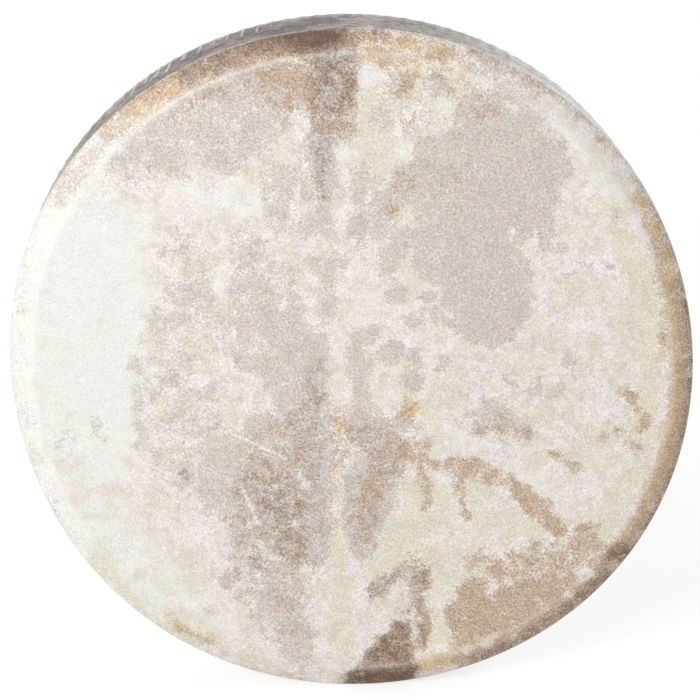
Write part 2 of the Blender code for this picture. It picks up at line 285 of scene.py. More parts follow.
# Strokes: tone, strength, softness, then the discs (across, up, half-width) that the stroke runs through
HIDE_STROKES = (
    # White: the left flank, the rim beside it, pale lobes by the spine, and painted highlights by the
    # bearing edge
    ("white", 1.00, 20, (
        (-126, 80, 9), (-162, 80, 18), (-147, 62, 28), (-145, 30, 27), (-146, 0, 27), (-144, -30, 24),
        (-146, -52, 14),
    )),
    ("white", 0.90, 14, ((-174, 56, 12), (-176, 10, 12), (-172, -40, 10))),
    ("white", 0.72, 14, ((-152, 94, 10), (-128, 95, 8), (-110, 97, 5))),
    ("white", 0.50, 34, ((-160, -75, 18), (-140, -105, 20), (-112, -138, 18), (-80, -155, 12))),
    ("white", 0.40, 24, ((-14, 58, 6), (2, 46, 8), (10, 30, 7), (-4, 28, 6))),
    ("white", 0.50, 6, ((-9, 106, 1), (-8, 60, 2), (-8, 10, 1), (-8, -20, 1))),
    # The left shoulder: pale hide, with painted light where the shoulder faces the lamp
    ("white", 0.75, 9, rim(149, 214, 193, 8)),
    # Painted highlights just inside the bearing edge, at the upper left and the upper right
    ("white", 0.75, 8, rim(150, 130, 183, 4)),
    ("white", 0.55, 10, rim(72, 34, 184, 6)),
    # Cream: the spine's line, the right half and the rim
    ("cream", 0.72, 9, ((-9, -20, 3), (-8, -44, 4), (-9, -66, 3), (-8, -92, 4))),
    ("cream", 0.85, 12, ((-8, -92, 3), (-8, -112, 4), (-8, -140, 7), (-8, -170, 8))),
    ("cream", 0.70, 30, ((6, 120, 14), (14, 150, 16), (40, 170, 14), (70, 160, 14))),
    ("cream", 0.90, 26, ((46, 130, 18), (34, 100, 14))),
    ("cream", 0.60, 30, ((66, 146, 14), (96, 146, 12))),
    ("cream", 0.50, 30, ((90, -24, 14), (120, -30, 14), (150, -50, 12))),
    ("cream", 0.55, 30, ((2, 14, 14), (24, 2, 18), (34, -20, 12))),
    ("cream", 0.75, 24, ((28, -68, 12), (46, -80, 14), (30, -105, 16), (20, -122, 14))),
    ("cream", 0.70, 22, ((50, -110, 10), (51, -148, 8), (49, -178, 8))),
    ("cream", 0.60, 24, ((78, -88, 14), (98, -98, 12), (148, -92, 12))),
    ("cream", 0.55, 28, ((-66, -42, 14), (-40, -32, 12))),
    ("cream", 0.94, 16, rim(36, -38, 174, 8)),
    ("cream", 0.95, 10, rim(216, 240, 191, 7)),
    # Amber: the warm rim and stains by the spine
    ("amber", 0.40, 14, ((-12, -22, 6), (-11, -40, 8), (-9, -56, 5))),
    ("amber", 0.60, 20, ((-6, -30, 8), (18, -34, 10), (36, -22, 7))),
    ("amber", 0.78, 12, rim(92, 74, 195, 5)),
    ("amber", 0.55, 18, ((6, 186, 8), (34, 184, 9), (56, 176, 7))),
    ("amber", 0.24, 10, rim(240, 268, 194, 4)),
    ("amber", 0.90, 10, ((42, -184, 6), (58, -180, 6))),
    ("amber", 0.95, 9, rim(17, -36, 191, 6)),
    ("amber", 0.80, 9, rim(32, 17, 194, 5)),
    ("amber", 1.05, 12, rim(124, 95, 194, 8)),
    ("amber", 0.92, 12, rim(130, 124, 194, 8)),
    ("amber", 0.44, 16, ((-122, -144, 6), (-100, -158, 5), (-80, -170, 5))),
    # Grey: the large patches, with the stripe and the spine's margins
    ("grey", 0.74, 20, (
        (-132, 122, 11), (-108, 136, 22), (-82, 142, 26), (-62, 144, 24), (-50, 140, 16),
    )),
    ("grey", 1.00, 22, ((-90, 164, 8), (-62, 169, 14), (-42, 165, 16), (-28, 166, 14))),
    ("grey", 0.74, 22, ((-40, 150, 9), (-36, 116, 12), (-40, 94, 9))),
    ("grey", 0.48, 16, ((-100, 72, 14), (-96, 42, 22), (-94, 10, 24), (-98, -20, 22), (-100, -48, 18))),
    ("grey", 0.64, 22, ((-58, 72, 14), (-52, 45, 24), (-48, 15, 26))),
    ("grey", 0.82, 18, ((-34, 16, 14), (-33, -14, 17), (-33, -40, 17))),
    ("grey", 0.86, 28, ((-54, -50, 24), (-52, -84, 32), (-42, -116, 22))),
    ("grey", 0.58, 20, ((-96, -60, 11), (-110, -66, 9), (-88, -72, 10))),
    ("grey", 0.66, 16, ((-68, -104, 10), (-62, -122, 10), (-76, -128, 6), (-56, -136, 8))),
    ("grey", 0.88, 20, ((-42, -142, 16), (-36, -165, 13), (-30, -180, 8))),
    ("grey", 1.04, 14, ((30, 112, 12), (56, 120, 24), (84, 128, 28), (105, 126, 17), (108, 106, 11))),
    ("grey", 1.05, 10, (
        (84, 92, 22), (62, 90, 20), (73, 64, 26), (77, 40, 25), (76, 24, 12), (92, 24, 9),
    )),
    ("grey", 0.90, 18, ((60, 150, 11), (82, 158, 11), (104, 148, 9))),
    ("grey", 0.85, 14, ((104, 90, 10), (112, 86, 8))),
    ("grey", 0.80, 16, ((12, 102, 9), (14, 84, 9), (28, 76, 11), (18, 64, 8))),
    ("grey", 0.72, 16, ((-18, 118, 7), (-18, 92, 9), (-14, 62, 8), (-18, 36, 8))),
    ("grey", 0.85, 16, ((6, -28, 10), (20, -42, 15), (12, -72, 13), (8, -102, 10))),
    ("grey", 1.00, 10, ((-13, 192, 16), (-10, 146, 12), (-16, 118, 6))),
    ("grey", 1.00, 11, ((-23, 20, 7), (-23, -60, 10), (-23, -112, 9))),
    ("grey", 1.00, 8, ((3, -34, 9), (20, -46, 11), (6, -70, 13), (6, -104, 11))),
    ("grey", 0.85, 12, ((38, -124, 7), (41, -152, 7))),
    ("grey", 0.75, 10, ((28, -124, 5), (15, -137, 5))),
    ("grey", 0.85, 12, ((3, 20, 5), (1, 2, 6), (3, -16, 6))),
    ("grey", 0.78, 14, ((3, 120, 5), (5, 98, 7), (3, 78, 6))),
    ("grey", 0.95, 14, ((46, 94, 10), (42, 78, 11), (46, 58, 6))),
    ("grey", 0.92, 18, ((-46, 50, 10), (-40, 36, 12), (-38, 20, 10))),
    ("grey", 0.92, 20, ((-42, -36, 15), (-70, -46, 11), (-84, -70, 12), (-76, -86, 10))),
    ("grey", 0.50, 14, ((-121, 22, 6), (-126, 2, 8), (-121, -20, 7), (-125, -42, 6))),
    ("grey", 0.60, 16, ((72, -30, 6), (84, -38, 7), (98, -40, 5))),
    ("grey", 0.72, 14, rim(148, 130, 194, 7)),
    ("grey", 0.55, 12, rim(73, 58, 194, 6)),
    ("grey", 0.28, 12, rim(153, 212, 195, 7)),
    ("grey", 0.70, 8, ((-9, -22, 6), (-9, -98, 6))),
    ("grey", 1.00, 8, ((-21, 182, 6), (-21, 150, 6), (-19, 120, 6))),
    # Tan: the brown rim, the branch and the patch at the lower right
    ("tan", 0.70, 14, rim(134, 124, 198, 6)),
    ("tan", 0.80, 14, rim(128, 116, 199, 5)),
    ("tan", 0.80, 14, rim(119, 95, 195, 8)),
    ("tan", 1.10, 10, ((-50, 190, 7), (-26, 194, 9), (-6, 195, 6))),
    ("tan", 0.72, 12, rim(95, 84, 198, 4)),
    ("tan", 0.70, 24, ((-104, 160, 6), (-78, 170, 10))),
    ("tan", 0.78, 30, ((-62, 178, 8), (-42, 174, 16), (-28, 166, 14))),
    ("tan", 0.34, 26, ((4, 184, 8), (30, 174, 12), (56, 172, 10), (80, 166, 8), (30, 150, 6))),
    ("tan", 0.50, 10, rim(84, 60, 199, 4)),
    ("tan", 0.50, 6, rim(60, 26, 198, 2)),
    ("tan", 0.80, 7, rim(15, -34, 196, 6)),
    ("tan", 0.58, 8, rim(27, 15, 198, 4)),
    ("tan", 0.55, 9, ((173, 78, 3), (175, 66, 4), (181, 42, 3), (180, 10, 4))),
    ("tan", 0.95, 8, rim(-34, -70, 194, 8)),
    ("tan", 0.30, 8, rim(-91, -108, 199, 3)),
    ("tan", 0.62, 7, rim(-117, -124, 191, 3)),
    ("tan", 0.46, 15, ((7, -40, 13), (24, -46, 12), (8, -76, 12), (6, -102, 9))),
    ("tan", 0.66, 10, ((20, -46, 7), (34, -46, 7), (44, -53, 5))),
    ("tan", 0.80, 8, (
        (44, -54, 3), (60, -57, 3), (71, -60, 5), (82, -64, 5), (91, -70, 6), (100, -77, 8),
        (108, -85, 8), (116, -93, 6), (124, -100, 5), (132, -106, 5),
    )),
    ("tan", 0.80, 8, ((132, -106, 6), (138, -100, 4), (141, -95, 3))),
    ("tan", 0.72, 8, ((41, -58, 3), (43, -72, 3), (43, -84, 4))),
    ("tan", 0.66, 8, ((60, -60, 3), (62, -76, 3), (65, -92, 4))),
    ("tan", 0.95, 9, ((71, -134, 7), (67, -147, 9), (72, -158, 12), (92, -148, 15), (112, -138, 13))),
    ("tan", 0.66, 15, ((73, -117, 8), (88, -124, 12), (108, -120, 14), (126, -112, 12), (146, -110, 8))),
    ("tan", 0.82, 12, (
        (66, -166, 9), (84, -164, 13), (102, -158, 13), (120, -145, 12), (138, -126, 8), (148, -116, 6),
    )),
    ("tan", 0.52, 14, ((37, -123, 8), (42, -140, 7), (42, -160, 6))),
    ("tan", 0.50, 12, ((28, -124, 5), (17, -131, 6), (14, -142, 5))),
    ("tan", 0.50, 7, ((-77, -117, 3), (-70, -127, 4), (-76, -137, 3))),
    ("tan", 0.42, 10, ((-10, -30, 5), (-9, -94, 5))),
    ("tan", 0.30, 16, ((34, 112, 8), (46, 116, 10), (56, 118, 8))),
    ("tan", 0.30, 16, ((-42, -138, 9), (-36, -162, 9))),
    ("tan", 0.42, 30, ((-50, -56, 18), (-46, -86, 28), (-34, -116, 17))),
    ("tan", 0.46, 10, ((-13, 190, 16), (-10, 162, 13), (-11, 144, 11))),
    ("tan", 0.40, 22, ((-27, -14, 9), (-36, -40, 15), (-36, -60, 15))),
    ("tan", 1.00, 7, ((29, -161, 4), (24, -171, 12), (21, -186, 17))),
    ("tan", 0.80, 9, ((40, -152, 4), (41, -166, 6))),
    # Dark: the stripe, the dark rim at the top and the wedge at the bottom
    ("dark", 0.24, 7, ((-63, -118, 3), (-58, -129, 3), (-66, -138, 3))),
    # The dark rim at the top: partly the hide's brown, partly painted shade on the shoulder that faces up
    ("dark", 0.36, 14, rim(126, 116, 200, 4)),
    ("dark", 0.74, 16, rim(118, 93, 199, 7)),
    ("dark", 0.70, 18, rim(113, 93, 195, 7)),
    ("dark", 0.90, 8, rim(111, 91, 200, 3)),
    ("dark", 1.08, 12, ((-46, 193, 5), (-26, 194, 9), (-10, 196, 7))),
    ("dark", 0.36, 14, ((-70, 185, 5), (-52, 190, 7), (-34, 192, 7))),
    ("dark", 0.86, 10, ((-40, 190, 5), (-24, 190, 7), (-12, 191, 6))),
    ("dark", 0.42, 10, ((-13, 198, 15), (-11, 178, 14), (-9, 162, 12))),
    ("dark", 0.12, 12, ((-9, 162, 12), (-9, 146, 11))),
    ("dark", 0.27, 9, ((-18, 140, 6), (-19, 122, 6), (-18, 106, 3))),
    ("dark", 0.28, 8, ((-21, 182, 6), (-21, 160, 6), (-20, 140, 5))),
    ("dark", 0.45, 9, ((8, 198, 4), (18, 197, 3))),
    ("dark", 0.19, 14, ((-22, 6, 6), (-25, -30, 10), (-25, -60, 11), (-24, -108, 9))),
    ("dark", 0.27, 30, ((-56, -64, 12), (-44, -82, 18), (-36, -106, 16))),
    ("dark", 0.16, 11, ((4, -38, 10), (23, -48, 9), (6, -76, 12), (5, -100, 10))),
    ("dark", 0.62, 7, ((29, -161, 4), (24, -171, 12), (21, -184, 17))),
    ("dark", 0.90, 7, ((3, -191, 5), (20, -191, 6), (34, -188, 5))),
    ("dark", 0.30, 9, ((40, -158, 4), (40, -168, 5))),
    ("dark", 1.05, 8, rim(-90, -81, 196, 7)),
    ("dark", 0.74, 8, ((150, -114, 4), (158, -112, 6), (164, -116, 6))),
    ("dark", 0.50, 7, rim(-40, -68, 196, 4)),
    ("dark", 0.32, 7, rim(14, -30, 199, 3)),
)

# Strokes on the side only, past the hoop's outer edge
SIDE_STROKES = (
    # Dark over the top of the side: partly the hide's darker tone, partly painted shade on the side that
    # faces up
    ("dark", 0.95, 16, rim(136, 118, 222, 26)),
    ("dark", 1.08, 16, rim(119, 97, 222, 26)),
    ("dark", 0.80, 16, rim(97, 66, 222, 26)),
    ("dark", 0.70, 16, rim(66, 34, 216, 22)),
    ("dark", 0.55, 20, rim(146, 52, 232, 30)),
    ("grey", 0.60, 24, rim(0, 360, 236, 30, 8.0)),
    ("tan", 0.40, 20, rim(0, 360, 242, 16, 8.0)),
)

# Spots: tone, strength, softness, then separate discs
HIDE_SPOTS = (
    ("white", 0.75, 13, (
        (-95, 112, 8), (-72, 110, 9), (-56, 104, 7), (-84, 98, 5), (-66, 94, 6), (-80, 56, 4),
        (-100, 99, 6),
    )),
    ("white", 0.66, 16, ((-36, 131, 7), (-4, 130, 7), (10, 172, 6), (26, 133, 6))),
    ("white", 0.55, 16, ((-42, 116, 5), (50, 155, 5), (78, 172, 5), (-22, 96, 5), (-10, 78, 4))),
    ("white", 0.5, 18, (
        (30, 56, 9), (44, 50, 7), (60, 14, 5), (118, 130, 7), (108, 160, 5), (64, -40, 9),
        (110, -70, 9),
    )),
    ("amber", 0.55, 9, (
        (28, -140, 4), (-96, -61, 3), (136, -126, 5), (120, -152, 4), (98, -167, 4), (130, -138, 4),
    )),
    ("grey", 0.8, 9, (
        (120, 74, 6), (132, 64, 5), (126, 54, 4), (146, 60, 5), (122, 116, 5), (150, 96, 4),
        (110, 76, 7),
    )),
    ("grey", 0.8, 9, (
        (80, -22, 8), (94, -30, 8), (104, -8, 6), (118, -14, 6), (128, 2, 5), (70, -26, 4), (88, -6, 5),
    )),
    ("grey", 1.0, 9, (
        (26, 48, 6), (10, 22, 6), (22, 14, 8), (34, -2, 7), (36, 12, 6), (8, 4, 6), (52, 4, 5),
    )),
    ("grey", 0.4, 13, (
        (-150, -30, 8), (-170, -40, 9), (-136, -108, 6), (-112, -104, 5), (-92, -148, 6), (118, -34, 5),
    )),
    ("grey", 0.85, 8, (
        (-25, 106, 5), (-8, 104, 4), (-14, 90, 5), (-27, 84, 5), (-4, 84, 4), (-16, 74, 5), (-7, 66, 4),
        (-22, 66, 5), (-12, 52, 4), (40, 44, 6), (48, 35, 5), (34, 31, 6),
    )),
    ("grey", 0.7, 10, (
        (20, 168, 9), (44, 168, 9), (16, 150, 8), (36, 146, 7), (8, 112, 7), (66, 178, 6), (24, 184, 6),
    )),
    ("tan", 0.72, 9, (
        (122, -50, 6), (129, -56, 5), (156, -36, 6), (160, -16, 5), (165, -24, 5), (171, -32, 5),
        (165, -46, 5), (146, -42, 5),
    )),
    ("tan", 0.50, 10, (
        (66, -30, 5), (76, -34, 6), (88, -32, 7), (97, -36, 5), (30, -28, 6), (35, -12, 5),
    )),
    ("tan", 0.8, 7, ((30, 168, 5), (24, 162, 4))),
    ("tan", 0.6, 8, (
        (76, 154, 5), (52, 164, 4), (24, 112, 6), (20, 98, 5), (30, 122, 4), (-66, -84, 6),
        (12, 186, 5), (46, 184, 6),
    )),
    ("dark", 0.34, 10, (
        (19, -128, 5), (39, -126, 6), (43, -143, 5), (13, -137, 4), (29, -151, 4), (-56, -120, 6),
        (-68, -106, 5),
    )),
    ("dark", 0.9, 3, ((-98, -64, 2), (-95, -67, 1))),
)

# Places where the hide is bare again: pigments to clear, strength, softness, then the discs of a stroke
BARE_STROKES = (
    (("grey", "tan", "dark"), 0.55, 5, (
        (-9, 106, 1), (-8, 10, 1), (-9, -20, 2), (-9, -60, 2), (-8, -100, 3),
    )),
    (("grey", "tan", "dark"), 0.75, 6, ((-8, -106, 3), (-8, -168, 5))),
    (("grey", "tan", "dark"), 0.85, 7, ((51, -100, 5), (52, -140, 5), (50, -176, 4))),
    (("grey",), 0.90, 12, ((-104, -90, 10), (-90, -110, 8))),
)

# The same in separate discs
BARE_SPOTS = (
    (("tan",), 0.9, 8, (
        (136, -126, 5), (80, -169, 4), (128, -140, 3), (98, -167, 3), (68, -175, 4), (124, -106, 3),
    )),
    (("dark", "tan", "grey"), 0.90, 10, (
        (-38, 133, 8), (-4, 130, 7), (11, 172, 6), (25, 133, 6), (50, 155, 5), (-30, 146, 4),
    )),
    (("grey",), 0.8, 9, (
        (-80, 55, 5), (-84, 86, 6), (-80, 6, 10), (-40, 40, 5), (-84, 116, 5), (-60, 112, 6),
        (-62, -6, 6),
    )),
    (("grey",), 0.9, 9, (
        (-70, -138, 6), (-58, -112, 4), (-78, -90, 5), (90, 82, 2), (90, 154, 4), (-20, 78, 5),
        (-8, 100, 5),
    )),
    (("grey", "tan", "dark"), 0.7, 7, (
        (-48, -116, 4), (-30, -124, 4), (-62, -96, 4), (-28, -70, 3), (-50, -72, 3), (-36, -92, 3),
    )),
)

# Fine scratches on the head: from, to, half-width, all in millimetres
SCRATCHES = (
    ((-122, -55), (-106, -62), 1.2),
    ((-66, -70), (-57, -92), 1.4),
    ((-72, -36), (-40, -52), 1.5),
    ((-90, 14), (-82, 10), 0.7),
)


def tone(red, green, blue):
    """A colour written in display values from 0 to 255, as linear light."""
    channels = []
    for value in (red, green, blue):
        share = value / 255
        channels.append(share / 12.92 if share <= 0.04045 else ((share + 0.055) / 1.055) ** 2.4)
    return tuple(channels)


def scaled(colour, *shares):
    """A colour made lighter or darker, by one share or by one for each channel."""
    if len(shares) == 1:
        shares = shares * 3
    return tuple(min(1.0, channel * share) for channel, share in zip(colour, shares))


def colour_property(name, description, colour):
    return bpy.props.FloatVectorProperty(
        name=name, description=description, subtype="COLOR", size=3, min=0.0, max=1.0, default=colour
    )


def length_property(name, description, default):
    return bpy.props.FloatProperty(
        name=name, description=description, default=default, min=0.0, unit="LENGTH", precision=4
    )


class DrumSizes(bpy.types.PropertyGroup):
    """Sizes of the drum's details that can be changed without changing its fit."""

    pleats: bpy.props.IntProperty(
        name="Pleats", description="Gathers of the hide round the back edge", default=144, min=24
    )
    pleat_height: length_property("Pleat height", "How far a gather stands off the hoop", 0.0004)
    pleat_slant: bpy.props.FloatProperty(
        name="Pleat slant",
        description="Turn of a gather across the side",
        default=math.radians(1.0),
        subtype="ANGLE",
    )
    hem_scallop: length_property("Hem scallop", "How far the hem draws back between two lace holes", 0.0022)
    lace_width: length_property("Lace width", "Width of the rawhide lace", 0.0034)
    lace_thickness: length_property("Lace thickness", "Thickness of the rawhide lace", 0.0025)
    lace_twist: bpy.props.FloatProperty(
        name="Lace twist", description="Turns of the lace in one metre", default=22.0
    )
    thong_width: length_property("Thong width", "Width of the leather thong round each arm", 0.0039)
    thong_thickness: length_property("Thong thickness", "Thickness of the leather thong", 0.0030)
    ring_wire: length_property("Ring wire", "Diameter of the steel ring's wire", RING_WIRE)


class DrumColours(bpy.types.PropertyGroup):
    """Colours of the drum's materials."""

    bare_hide: colour_property("Bare hide", "Hide without pigment", tone(235, 229, 225))
    white_hide: colour_property("White hide", "The palest part of the hide", tone(233, 235, 229))
    cream_hide: colour_property("Cream hide", "Yellowish hide along the spine", tone(223, 216, 200))
    amber_hide: colour_property("Amber hide", "Warm hide along the rim", tone(207, 178, 136))
    grey_pigment: colour_property("Grey pigment", "Large grey patches", tone(205, 196, 189))
    tan_pigment: colour_property("Tan pigment", "Brown patches and the rim", tone(186, 160, 135))
    dark_pigment: colour_property("Dark pigment", "The stripe and other dark places", tone(100, 74, 59))
    flesh_side: colour_property("Flesh side", "Inside of the hide", tone(206, 189, 157))
    ash: colour_property("Ash", "Laths of the hoop", tone(183, 147, 103))
    ash_streak: colour_property("Ash streak", "Dark grain of the laths", tone(139, 100, 62))
    oak: colour_property("Oak", "Scarf pegs", tone(124, 88, 54))
    lace: colour_property("Lace", "Rawhide laces", tone(206, 178, 134))
    leather: colour_property("Leather", "Thong round the arms of the grip", tone(92, 58, 38))
    # Slate and mauve colour the side: partly the hide's own darker tone, partly painted shade where the side
    # faces up
    slate: colour_property("Slate", "Smoky side of the hide at the top", tone(66, 59, 59))
    mauve: colour_property("Mauve", "Paler flecks on the smoky side", tone(150, 131, 127))
    steel: colour_property("Steel", "Grip ring", tone(134, 134, 136))


class Nodes:
    """A node tree, with short names for the nodes that it is made of."""

    def __init__(self, tree):
        self.tree = tree

    def add(self, kind, **settings):
        node = self.tree.nodes.new(kind)
        for key, value in settings.items():
            setattr(node, key, value)
        return node

    def feed(self, socket, value):
        if isinstance(value, bpy.types.NodeSocket):
            self.tree.links.new(value, socket)
        elif socket.type == "RGBA":
            socket.default_value = (*value[:3], 1.0)
        else:
            socket.default_value = value

    def math(self, operation, *values, clamp=False):
        node = self.add("ShaderNodeMath", operation=operation, use_clamp=clamp)
        for socket, value in zip(node.inputs, values):
            self.feed(socket, value)
        return node.outputs[0]

    def vector(self, operation, *values):
        node = self.add("ShaderNodeVectorMath", operation=operation)
        sockets = [node.inputs["Scale"]] if operation == "SCALE" else node.inputs[1:]
        self.feed(node.inputs[0], values[0])
        for socket, value in zip(sockets, values[1:]):
            self.feed(socket, value)
        return node.outputs["Value"] if operation in ("DOT_PRODUCT", "LENGTH") else node.outputs["Vector"]

    def noise(self, place, scale, detail=2.0, roughness=0.5, distortion=0.0, output="Fac"):
        node = self.add("ShaderNodeTexNoise")
        self.feed(node.inputs["Vector"], place)
        node.inputs["Scale"].default_value = scale
        node.inputs["Detail"].default_value = detail
        node.inputs["Roughness"].default_value = roughness
        node.inputs["Distortion"].default_value = distortion
        return node.outputs[output]

    def ramp(self, value, low, high, start=0.0, end=1.0):
        node = self.add("ShaderNodeMapRange", interpolation_type="SMOOTHSTEP")
        entries = {"Value": value, "From Min": low, "From Max": high, "To Min": start, "To Max": end}
        for name, entry in entries.items():
            self.feed(node.inputs[name], entry)
        return node.outputs["Result"]

    def mix(self, share, first, second, blend="MIX"):
        node = self.add("ShaderNodeMix", data_type="RGBA", blend_type=blend)
        for name, value in (("Factor_Float", share), ("A_Color", first), ("B_Color", second)):
            self.feed(next(s for s in node.inputs if s.identifier == name), value)
        return next(s for s in node.outputs if s.identifier == "Result_Color")

    def attribute(self, name):
        return self.add("ShaderNodeAttribute", attribute_name=name)

    def channels(self, name):
        """The three channels and the alpha of a colour attribute."""
        node = self.attribute(name)
        split = self.add("ShaderNodeSeparateColor")
        self.feed(split.inputs[0], node.outputs["Color"])
        return (*split.outputs[:3], node.outputs["Alpha"])

    def flat(self, name):
        return self.add("ShaderNodeUVMap", uv_map=name).outputs["UV"]

    def stretched(self, place, scale, turn=(0.0, 0.0, 0.0)):
        node = self.add("ShaderNodeMapping")
        self.feed(node.inputs["Vector"], place)
        node.inputs["Rotation"].default_value = turn
        node.inputs["Scale"].default_value = scale
        return node.outputs["Vector"]


class Finish(Nodes):
    """One material and its shader."""

    def __init__(self, name):
        self.material = bpy.data.materials.new(name)
        self.material.use_nodes = True
        super().__init__(self.material.node_tree)
        self.shader = self.tree.nodes["Principled BSDF"]

    def bump(self, height, strength, distance):
        node = self.add("ShaderNodeBump")
        node.inputs["Strength"].default_value = strength
        node.inputs["Distance"].default_value = distance
        self.feed(node.inputs["Height"], height)
        self.feed(self.shader.inputs["Normal"], node.outputs["Normal"])

    def blend(self, share, first, second):
        """A shader that mixes two others."""
        node = self.add("ShaderNodeMixShader")
        for socket, value in zip(node.inputs, (share, first.outputs[0], second.outputs[0])):
            self.feed(socket, value)
        return node

    def finish(self, colour, roughness):
        self.feed(self.shader.inputs["Base Color"], colour)
        self.feed(self.shader.inputs["Roughness"], roughness)
        return self.material


def bent(places):
    """Where the hand-bent hoop puts the points of a true round drum."""
    places = np.asarray(places, float)
    angle = np.arctan2(places[:, 1], places[:, 0])
    swell = OVAL_SWELL * np.cos(2 * (angle - OVAL_ANGLE)) + LOBE_SWELL * np.cos(LOBES * (angle - LOBE_ANGLE))
    share = np.hypot(places[:, 0], places[:, 1]) / HOOP_RADIUS
    moved = places.copy()
    moved[:, :2] *= (1.0 + share**2 * swell / HOOP_RADIUS)[:, None]
    return moved


def upright(places):
    """Drum coordinates (across, up, depth) turned to the standing drum's place."""
    return np.stack([places[:, 0], BACK_PLANE - places[:, 2], places[:, 1]], axis=1)


def add_piece(name, mesh):
    piece = bpy.data.objects.new(name, mesh)
    bpy.context.scene.collection.objects.link(piece)
    return piece


def settle(name, mesh, slot, *replaced):
    """Puts a finished piece on the drum, in place of the CAD nodes that it stands for."""
    piece = add_piece(name, mesh)
    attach(piece, "root")
    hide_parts(*replaced)
    return piece


def closed_mesh(name, places, faces):
    """A smooth mesh of a closed shell, given in drum coordinates, with its faces outwards."""
    mesh = bpy.data.meshes.new(name)
    mesh.from_pydata(upright(bent(places)).tolist(), [], faces)
    solid = bmesh.new()
    solid.from_mesh(mesh)
    bmesh.ops.recalc_face_normals(solid, faces=solid.faces)
    for face in solid.faces:
        face.smooth = True
    loose = [edge for edge in solid.edges if not edge.is_manifold]
    if loose:
        raise RuntimeError(f"{name} has {len(loose)} open edges")
    solid.to_mesh(mesh)
    solid.free()
    return mesh


def add_flat_map(mesh, name, flat):
    """A UV map from one flat place for each vertex."""
    layer = mesh.uv_layers.new(name=name)
    corners = np.zeros(len(mesh.loops), int)
    mesh.loops.foreach_get("vertex_index", corners)
    layer.data.foreach_set("uv", np.asarray(flat, np.float32)[corners].ravel())


def rounded(corners, step=BEND_STEP):
    """A line through (point, reach) corners, each bent as an arc that starts and ends its reach away."""
    line = [corners[0][0].copy()]
    for (before, _), (here, reach), (after, _) in zip(corners, corners[1:], corners[2:]):
        to_before = before - here
        to_after = after - here
        reach = min(reach, BEND_SHARE * min(to_before.length, to_after.length))
        turn = math.pi - to_before.angle(to_after)
        if reach <= 0.0 or turn < STRAIGHT:
            line.append(here.copy())
            continue
        start = here + to_before.normalized() * reach
        end = here + to_after.normalized() * reach
        middle = (to_before.normalized() + to_after.normalized()).normalized()
        centre = here + middle * math.hypot(reach, reach / math.tan(turn / 2))
        steps = max(1, math.ceil(turn / step))
        for index in range(steps + 1):
            share = index / steps
            first = math.sin((1 - share) * turn) / math.sin(turn)
            second = math.sin(share * turn) / math.sin(turn)
            line.append(centre + (start - centre) * first + (end - centre) * second)
    line.append(corners[-1][0].copy())
    return line


def hoop_outline():
    """The line (radius, depth) that the skin lies on, from the head's centre to the bend of the hem."""
    shoulder = (BEARING_RADIUS + HOOP_RADIUS) / 2
    hem_depth = HEM_INSET + SEAT
    return rounded(
        [
            (Vector((0.0, HOOP_FRONT)), 0.0),
            (Vector((BEARING_RADIUS, HOOP_FRONT)), BEARING_BEND),
            (Vector((shoulder, HOOP_FRONT - CROWN_DROP / 2 + CROWN_SWELL)), CROWN_BEND),
            (Vector((HOOP_RADIUS, HOOP_FRONT - CROWN_DROP)), OUTER_BEND),
            (Vector((HOOP_RADIUS, HOOP_BACK)), BACK_BEND),
            (Vector((HOOP_INNER_RADIUS, HOOP_BACK)), HEM_BEND),
            (Vector((HEM_BEND_RADIUS, hem_depth)), HEM_BEND),
            (Vector((HEM_EDGE_RADIUS, hem_depth)), 0.0),
        ]
    )[:-1]


def pushed_out(line, distance):
    """The outline moved outwards by an even distance, with mitred corners."""
    normals = []
    for start, end in zip(line, line[1:]):
        along = (end - start).normalized()
        normals.append(Vector((-along.y, along.x)))
    moved = []
    for index, point in enumerate(line):
        first = normals[max(index - 1, 0)]
        second = normals[min(index, len(normals) - 1)]
        moved.append(point + (first + second) * (distance / (1.0 + first.dot(second))))
    return moved


def filled(line, step_at):
    """A line with points added so that no run is longer than the step wanted at its start."""
    full = [line[0]]
    for start, end in zip(line, line[1:]):
        count = max(1, math.ceil((end - start).length / step_at(start, end)))
        full += [start.lerp(end, index / count) for index in range(1, count + 1)]
    return full


def unit_noise(value):
    """Smooth noise along a line, from -1 to 1, the same each run."""
    return noise.noise(Vector((value, 7.3, 1.9)))


